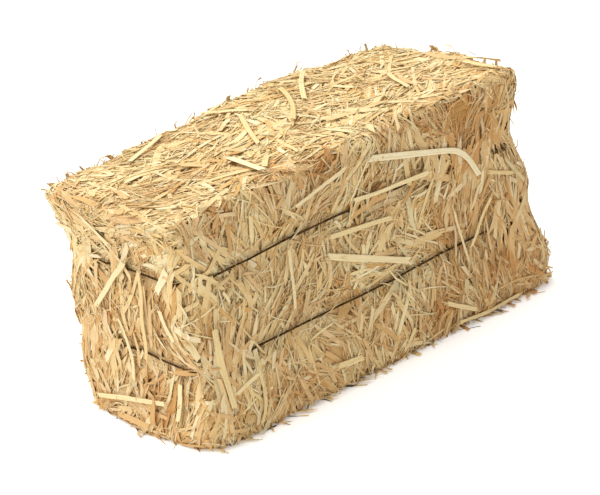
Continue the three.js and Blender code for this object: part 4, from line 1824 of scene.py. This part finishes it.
@dataclass
class Twines:
    """Two closed loops of twisted twine, each with its knot and two frayed tails."""

    form: BaleForm
    shape: TwineShape = TwineShape()
    finish: FibreFinish = SISAL_TWINE
    # Where the part's source ties each knot, across and deep: at the front right, and behind.
    knots: tuple[tuple[float, float], ...] = ((0.821, -1.0), (0.5525, 1.0))

    def loop(self, which: int) -> np.ndarray:
        """Closed line of points round the bale at one twine.

        Args:
            which: 0 for the upper twine and 1 for the lower.

        Returns:
            Points in millimetres, without repeating the first.
        """
        s = np.linspace(-1, 1, self.shape.steps_each_side + 1)[:-1]
        one = np.ones_like(s)
        across = np.concatenate([s, one, -s, -one])
        deep = np.concatenate([-one, s, one, -s])
        points = self.form.place(across, deep, np.full(across.shape, self.form.twine_heights[which]))
        steps = np.roll(points, -1, 0) - np.roll(points, 1, 0)
        outward = unit(np.stack([steps[:, 1], -steps[:, 0], steps[:, 0] * 0], -1))
        sway = Waves(48, 51 + which).at(points)
        points = points + outward * self.shape.rest
        points[:, 2] += self.shape.sway * sway
        return points

    def knot_lines(self, place: np.ndarray, along: np.ndarray) -> list[tuple[np.ndarray, bool, np.ndarray]]:
        """Closed trefoil and two tails at one place on a twine.

        Args:
            place: Where the twine is tied.
            along: Direction of the twine there.

        Returns:
            Points, whether the line is closed, and how frayed it is at each point.
        """
        shape = self.shape
        outward = unit(np.array([along[1], -along[0], 0.0]))
        up = np.cross(outward, along)
        t = np.linspace(0, 2 * math.pi, shape.knot_points, endpoint=False)[:, None]
        first = shape.knot_size * (np.sin(t) + 2 * np.sin(2 * t))
        second = shape.knot_size * (np.cos(t) - 2 * np.cos(2 * t))
        third = -shape.knot_size * shape.knot_height * np.sin(3 * t)
        knot = place + first * along * shape.knot_stretch + second * up + (third + shape.knot_lift) * outward
        lines = [(knot, True, np.zeros(len(knot)))]
        onward, off, down = shape.tail_way
        share = np.linspace(0, 1, shape.tail_points)[:, None]
        sag = np.array([0, 0, 1.0]) * (-shape.tail_sag * share**2)
        fray = np.clip((share[:, 0] - shape.fray_from) / (1 - shape.fray_from), 0, 1) ** shape.fray_power
        for sign in (-1, 1):
            way = unit(onward * sign * along + off * outward - np.array([0, 0, down]))
            tail = place + way * (share * shape.tail) + sag
            lines.append((tail + along * (sign * shape.tail_bend * np.sin(share * 5)), False, fray))
        return lines

    def path_object(self, name: str, lines: list) -> bpy.types.Object:
        """Makes a helper object of edges from several lines.

        Args:
            name: Name of the helper.
            lines: Points, closed flag and fray of each line.

        Returns:
            The helper, which isn't part of the finished model.
        """
        points, edges, fray = [], [], []
        for line, closed, frayed in lines:
            start = len(points)
            points += line.tolist()
            fray += list(frayed)
            last = len(line) if closed else len(line) - 1
            edges += [(start + i, start + (i + 1) % len(line)) for i in range(last)]
        path = mesh_object(name, points, [], edges=edges)
        set_attributes(path.data, "POINT", fray=np.array(fray))
        return path

    def tree(self) -> bpy.types.NodeTree:
        """Builds the tree that lays three plies round a path.

        Returns:
            The tree, with a named input for each size.
        """
        sheet = geometry_sheet(
            "twist twine",
            {
                "Object": ("Path",),
                "Float": ("Step", "Pitch", "Ply Radius", "Ply Offset"),
                "Int": ("Sides",),
                "Material": ("Finish",),
            },
        )
        add = sheet.add
        add("path", "GeometryNodeObjectInfo", {"Object": "in:Path"})
        add("curves", "GeometryNodeMeshToCurve", {"Mesh": "path:Geometry"})
        add("even", "GeometryNodeResampleCurve", {"Curve": "curves", "Length": "in:Step"}, mode="LENGTH")
        add("upright", "GeometryNodeSetCurveNormal", {"Curve": "even"}, mode="MINIMUM_TWIST")
        add("profile", "GeometryNodeCurvePrimitiveCircle",
            {"Resolution": "in:Sides", "Radius": "in:Ply Radius"}, mode="RADIUS")
        add("spline", "GeometryNodeSplineLength")
        add("on spline", "GeometryNodeSplineParameter")
        add("tangent", "GeometryNodeInputTangent")
        add("normal", "GeometryNodeInputNormal")
        add("fray", "GeometryNodeInputNamedAttribute", {"Name": "fray"}, data_type="FLOAT")
        sheet.add_sums(
            # A whole number of turns on each line, so that a closed loop has no seam.
            ("exact", MATH, "DIVIDE", "spline:Length", "in:Pitch"),
            ("whole", MATH, "ROUND", "exact"),
            ("turns", MATH, "MULTIPLY", "on spline:Factor", "whole"),
            ("across", VECTOR, "CROSS_PRODUCT", "tangent", "normal:Normal"),
            ("loosened", MATH, "MULTIPLY_ADD", "fray", self.shape.fray, 1.0),
            ("offset", MATH, "MULTIPLY", "in:Ply Offset", "loosened"),
        )
        joined = add("joined", "GeometryNodeJoinGeometry")
        for ply in range(self.shape.plies):
            phase = ply / self.shape.plies
            sheet.add_sums(
                ("share", MATH, "ADD", "turns", phase),
                ("angle", MATH, "MULTIPLY", "share", 2 * math.pi),
                ("cosine", MATH, "COSINE", "angle"),
                ("sine", MATH, "SINE", "angle"),
                ("one way", VECTOR, "MULTIPLY", "normal:Normal", "cosine"),
                ("both", VECTOR, "MULTIPLY_ADD", "across", "sine", "one way"),
                ("moved", VECTOR, "MULTIPLY", "both", "offset"),
            )
            add("laid", "GeometryNodeSetPosition", {"Geometry": "upright", "Offset": "moved"})
            add("run", "ShaderNodeCombineXYZ", (0.0, "on spline:Length", phase))
            add("marked", "GeometryNodeStoreNamedAttribute",
                {"Geometry": "laid", "Name": "grain", "Value": "run"},
                data_type="FLOAT_VECTOR", domain="POINT")
            tube = add("tube", "GeometryNodeCurveToMesh",
                       {"Curve": "marked", "Profile Curve": "profile", "Fill Caps": True})
            sheet.tree.links.new(tube.outputs["Mesh"], joined.inputs["Geometry"])
        sheet.add_ending("joined", smooth=True)
        return sheet.tree

    def build(self) -> None:
        """Makes both twines in place of their CAD nodes."""
        tree, material, shape = self.tree(), self.finish.material(), self.shape
        for which, (name, (across, deep)) in enumerate(zip(TWINE_NODES, self.knots)):
            loop = self.loop(which)
            level = self.form.twine_heights[which]
            place = self.form.place(np.array([across]), np.array([deep]), np.array([level]))[0]
            nearest = int(np.argmin(np.linalg.norm(loop - place, axis=1)))
            along = unit(loop[(nearest + 1) % len(loop)] - loop[nearest - 1])
            lines = [(loop, True, np.zeros(len(loop)))] + self.knot_lines(loop[nearest], along)
            path = self.path_object(f"{name}_path", lines)
            values = {
                "Path": path,
                "Step": shape.step * MM,
                "Pitch": shape.pitch * MM,
                "Ply Radius": shape.ply_radius * MM,
                "Ply Offset": shape.ply_offset * MM,
                "Sides": shape.sides,
                "Finish": material,
            }
            piece = run_tree(tree, f"twisted_{name}", values)
            bpy.data.objects.remove(path)
            finish_piece(piece, "twine", material, name)


@dataclass(frozen=True)
class PhotoCamera:
    """Camera that stands where the photograph was taken from, found by a fit of the bale's outline."""

    azimuth: float = -37.792
    elevation: float = 20.537
    roll: float = -9.276
    distance: float = 2365.0
    slide: tuple[float, float] = (8.91, -2.601)
    target_height: float = 125.0
    focal_pixels: float = 2000.0

    def build(self) -> None:
        """Makes the camera the scene's camera."""
        azimuth, elevation = math.radians(self.azimuth), math.radians(self.elevation)
        level = math.cos(elevation)
        back = Vector((math.sin(azimuth) * level, -math.cos(azimuth) * level, math.sin(elevation)))
        forward = -back
        right = forward.cross(Vector((0, 0, 1))).normalized()
        down = forward.cross(right)
        rows = Matrix.Rotation(math.radians(self.roll), 3, "Z") @ Matrix((right, down, forward))
        slid = rows.transposed() @ Vector((*self.slide, 0))
        place = Vector((*FORM_SHIFT, self.target_height)) + back * self.distance - slid
        data = bpy.data.cameras.new("photo_camera")
        data.sensor_fit = "HORIZONTAL"
        data.sensor_width = 36.0
        data.lens = self.focal_pixels / PHOTO_WIDTH * data.sensor_width
        data.clip_end = 100.0
        camera = add_object("photo_camera", data)
        turn = Matrix((rows[0], -rows[1], -rows[2])).transposed().to_4x4()
        camera.matrix_world = Matrix.Translation(place * MM) @ turn
        bpy.context.scene.camera = camera
        log.info("camera: %.0f mm lens, %.2f m away", data.lens, self.distance * MM)


@dataclass(frozen=True)
class Studio:
    """White sweep under and behind the bale, in soft light that comes most from above on the left."""

    floor_half: float = 6.0
    floor_colour: str = "#F7F7F5"
    white: str = "#FFFFFF"
    # The sweep is lit from below as well, so that the shadow on it stays as pale as the photograph's.
    floor_glow: float = 0.24
    # The light from all round, and what is added towards the side that most of it comes from.
    world_strength: float = 0.24
    tent_strength: float = 0.91
    tent_side: tuple[float, float, float] = (-0.45, 0.25, 0.857)
    # A square soft light: its place and its aim in metres, its side in metres and its power in watts.
    lamp_place: tuple[float, float, float] = (-0.6, 0.6, 3.0)
    lamp_aim: tuple[float, float, float] = (0.0, 0.0, 0.15)
    lamp_side: float = 4.0
    lamp_power: float = 120.0

    def build(self) -> None:
        """Makes the floor, the light and the world."""
        half = self.floor_half
        corners = np.array([(-half, -half, 0), (half, -half, 0), (half, half, 0), (-half, half, 0)])
        floor = mesh_object("studio_floor", corners, [(0, 1, 2, 3)], 1.0)
        floor.data.materials.append(self.floor_material())
        data = bpy.data.lights.new("overhead_light", "AREA")
        data.size = self.lamp_side
        data.energy = self.lamp_power
        lamp = add_object("overhead_light", data)
        lamp.location = self.lamp_place
        aim = Vector(self.lamp_aim) - Vector(self.lamp_place)
        lamp.rotation_euler = aim.to_track_quat("-Z", "Y").to_euler()
        bpy.context.scene.world = self.light_tent()
        bpy.context.scene.view_settings.view_transform = "Standard"

    def light_tent(self) -> bpy.types.World:
        """White cloth all round, lit more on one side, as in a product photographer's tent.

        Returns:
            The world.
        """
        world = bpy.data.worlds.new("light_tent")
        add = shader_sheet(world).add
        add("direction", "ShaderNodeNewGeometry")
        add("facing", VECTOR, ("direction:Position", self.tent_side), operation="DOT_PRODUCT")
        add("lit", MATH, ("facing:Value", 0.0), operation="MAXIMUM")
        add("strength", MATH, ("lit", self.tent_strength, self.world_strength), operation="MULTIPLY_ADD")
        add("cloth", "ShaderNodeBackground", {"Color": linear(self.white), "Strength": "strength"})
        add("out", "ShaderNodeOutputWorld", {"Surface": "cloth"})
        return world

    def floor_material(self) -> bpy.types.Material:
        """Matt white seamless paper.

        Returns:
            The material.
        """
        made = bpy.data.materials.new("seamless_white_paper")
        add = shader_sheet(made).add
        add("shader", "ShaderNodeBsdfPrincipled",
            {"Base Color": linear(self.floor_colour), "Roughness": 0.9,
             "Emission Color": linear(self.white), "Emission Strength": self.floor_glow})
        add("out", "ShaderNodeOutputMaterial", {"Surface": "shader"})
        return made


def main() -> None:
    """Builds the bale, the studio and the camera."""
    logging.basicConfig(level=logging.INFO, format="%(name)s: %(message)s")
    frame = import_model()
    form = BaleForm()
    LooseStraws().build(frame["nodes"])
    Twines(form).build()
    StrawBlock(GuideSurface(form)).build()
    PhotoCamera().build()
    Studio().build()


if __name__ == "__main__":
    main()
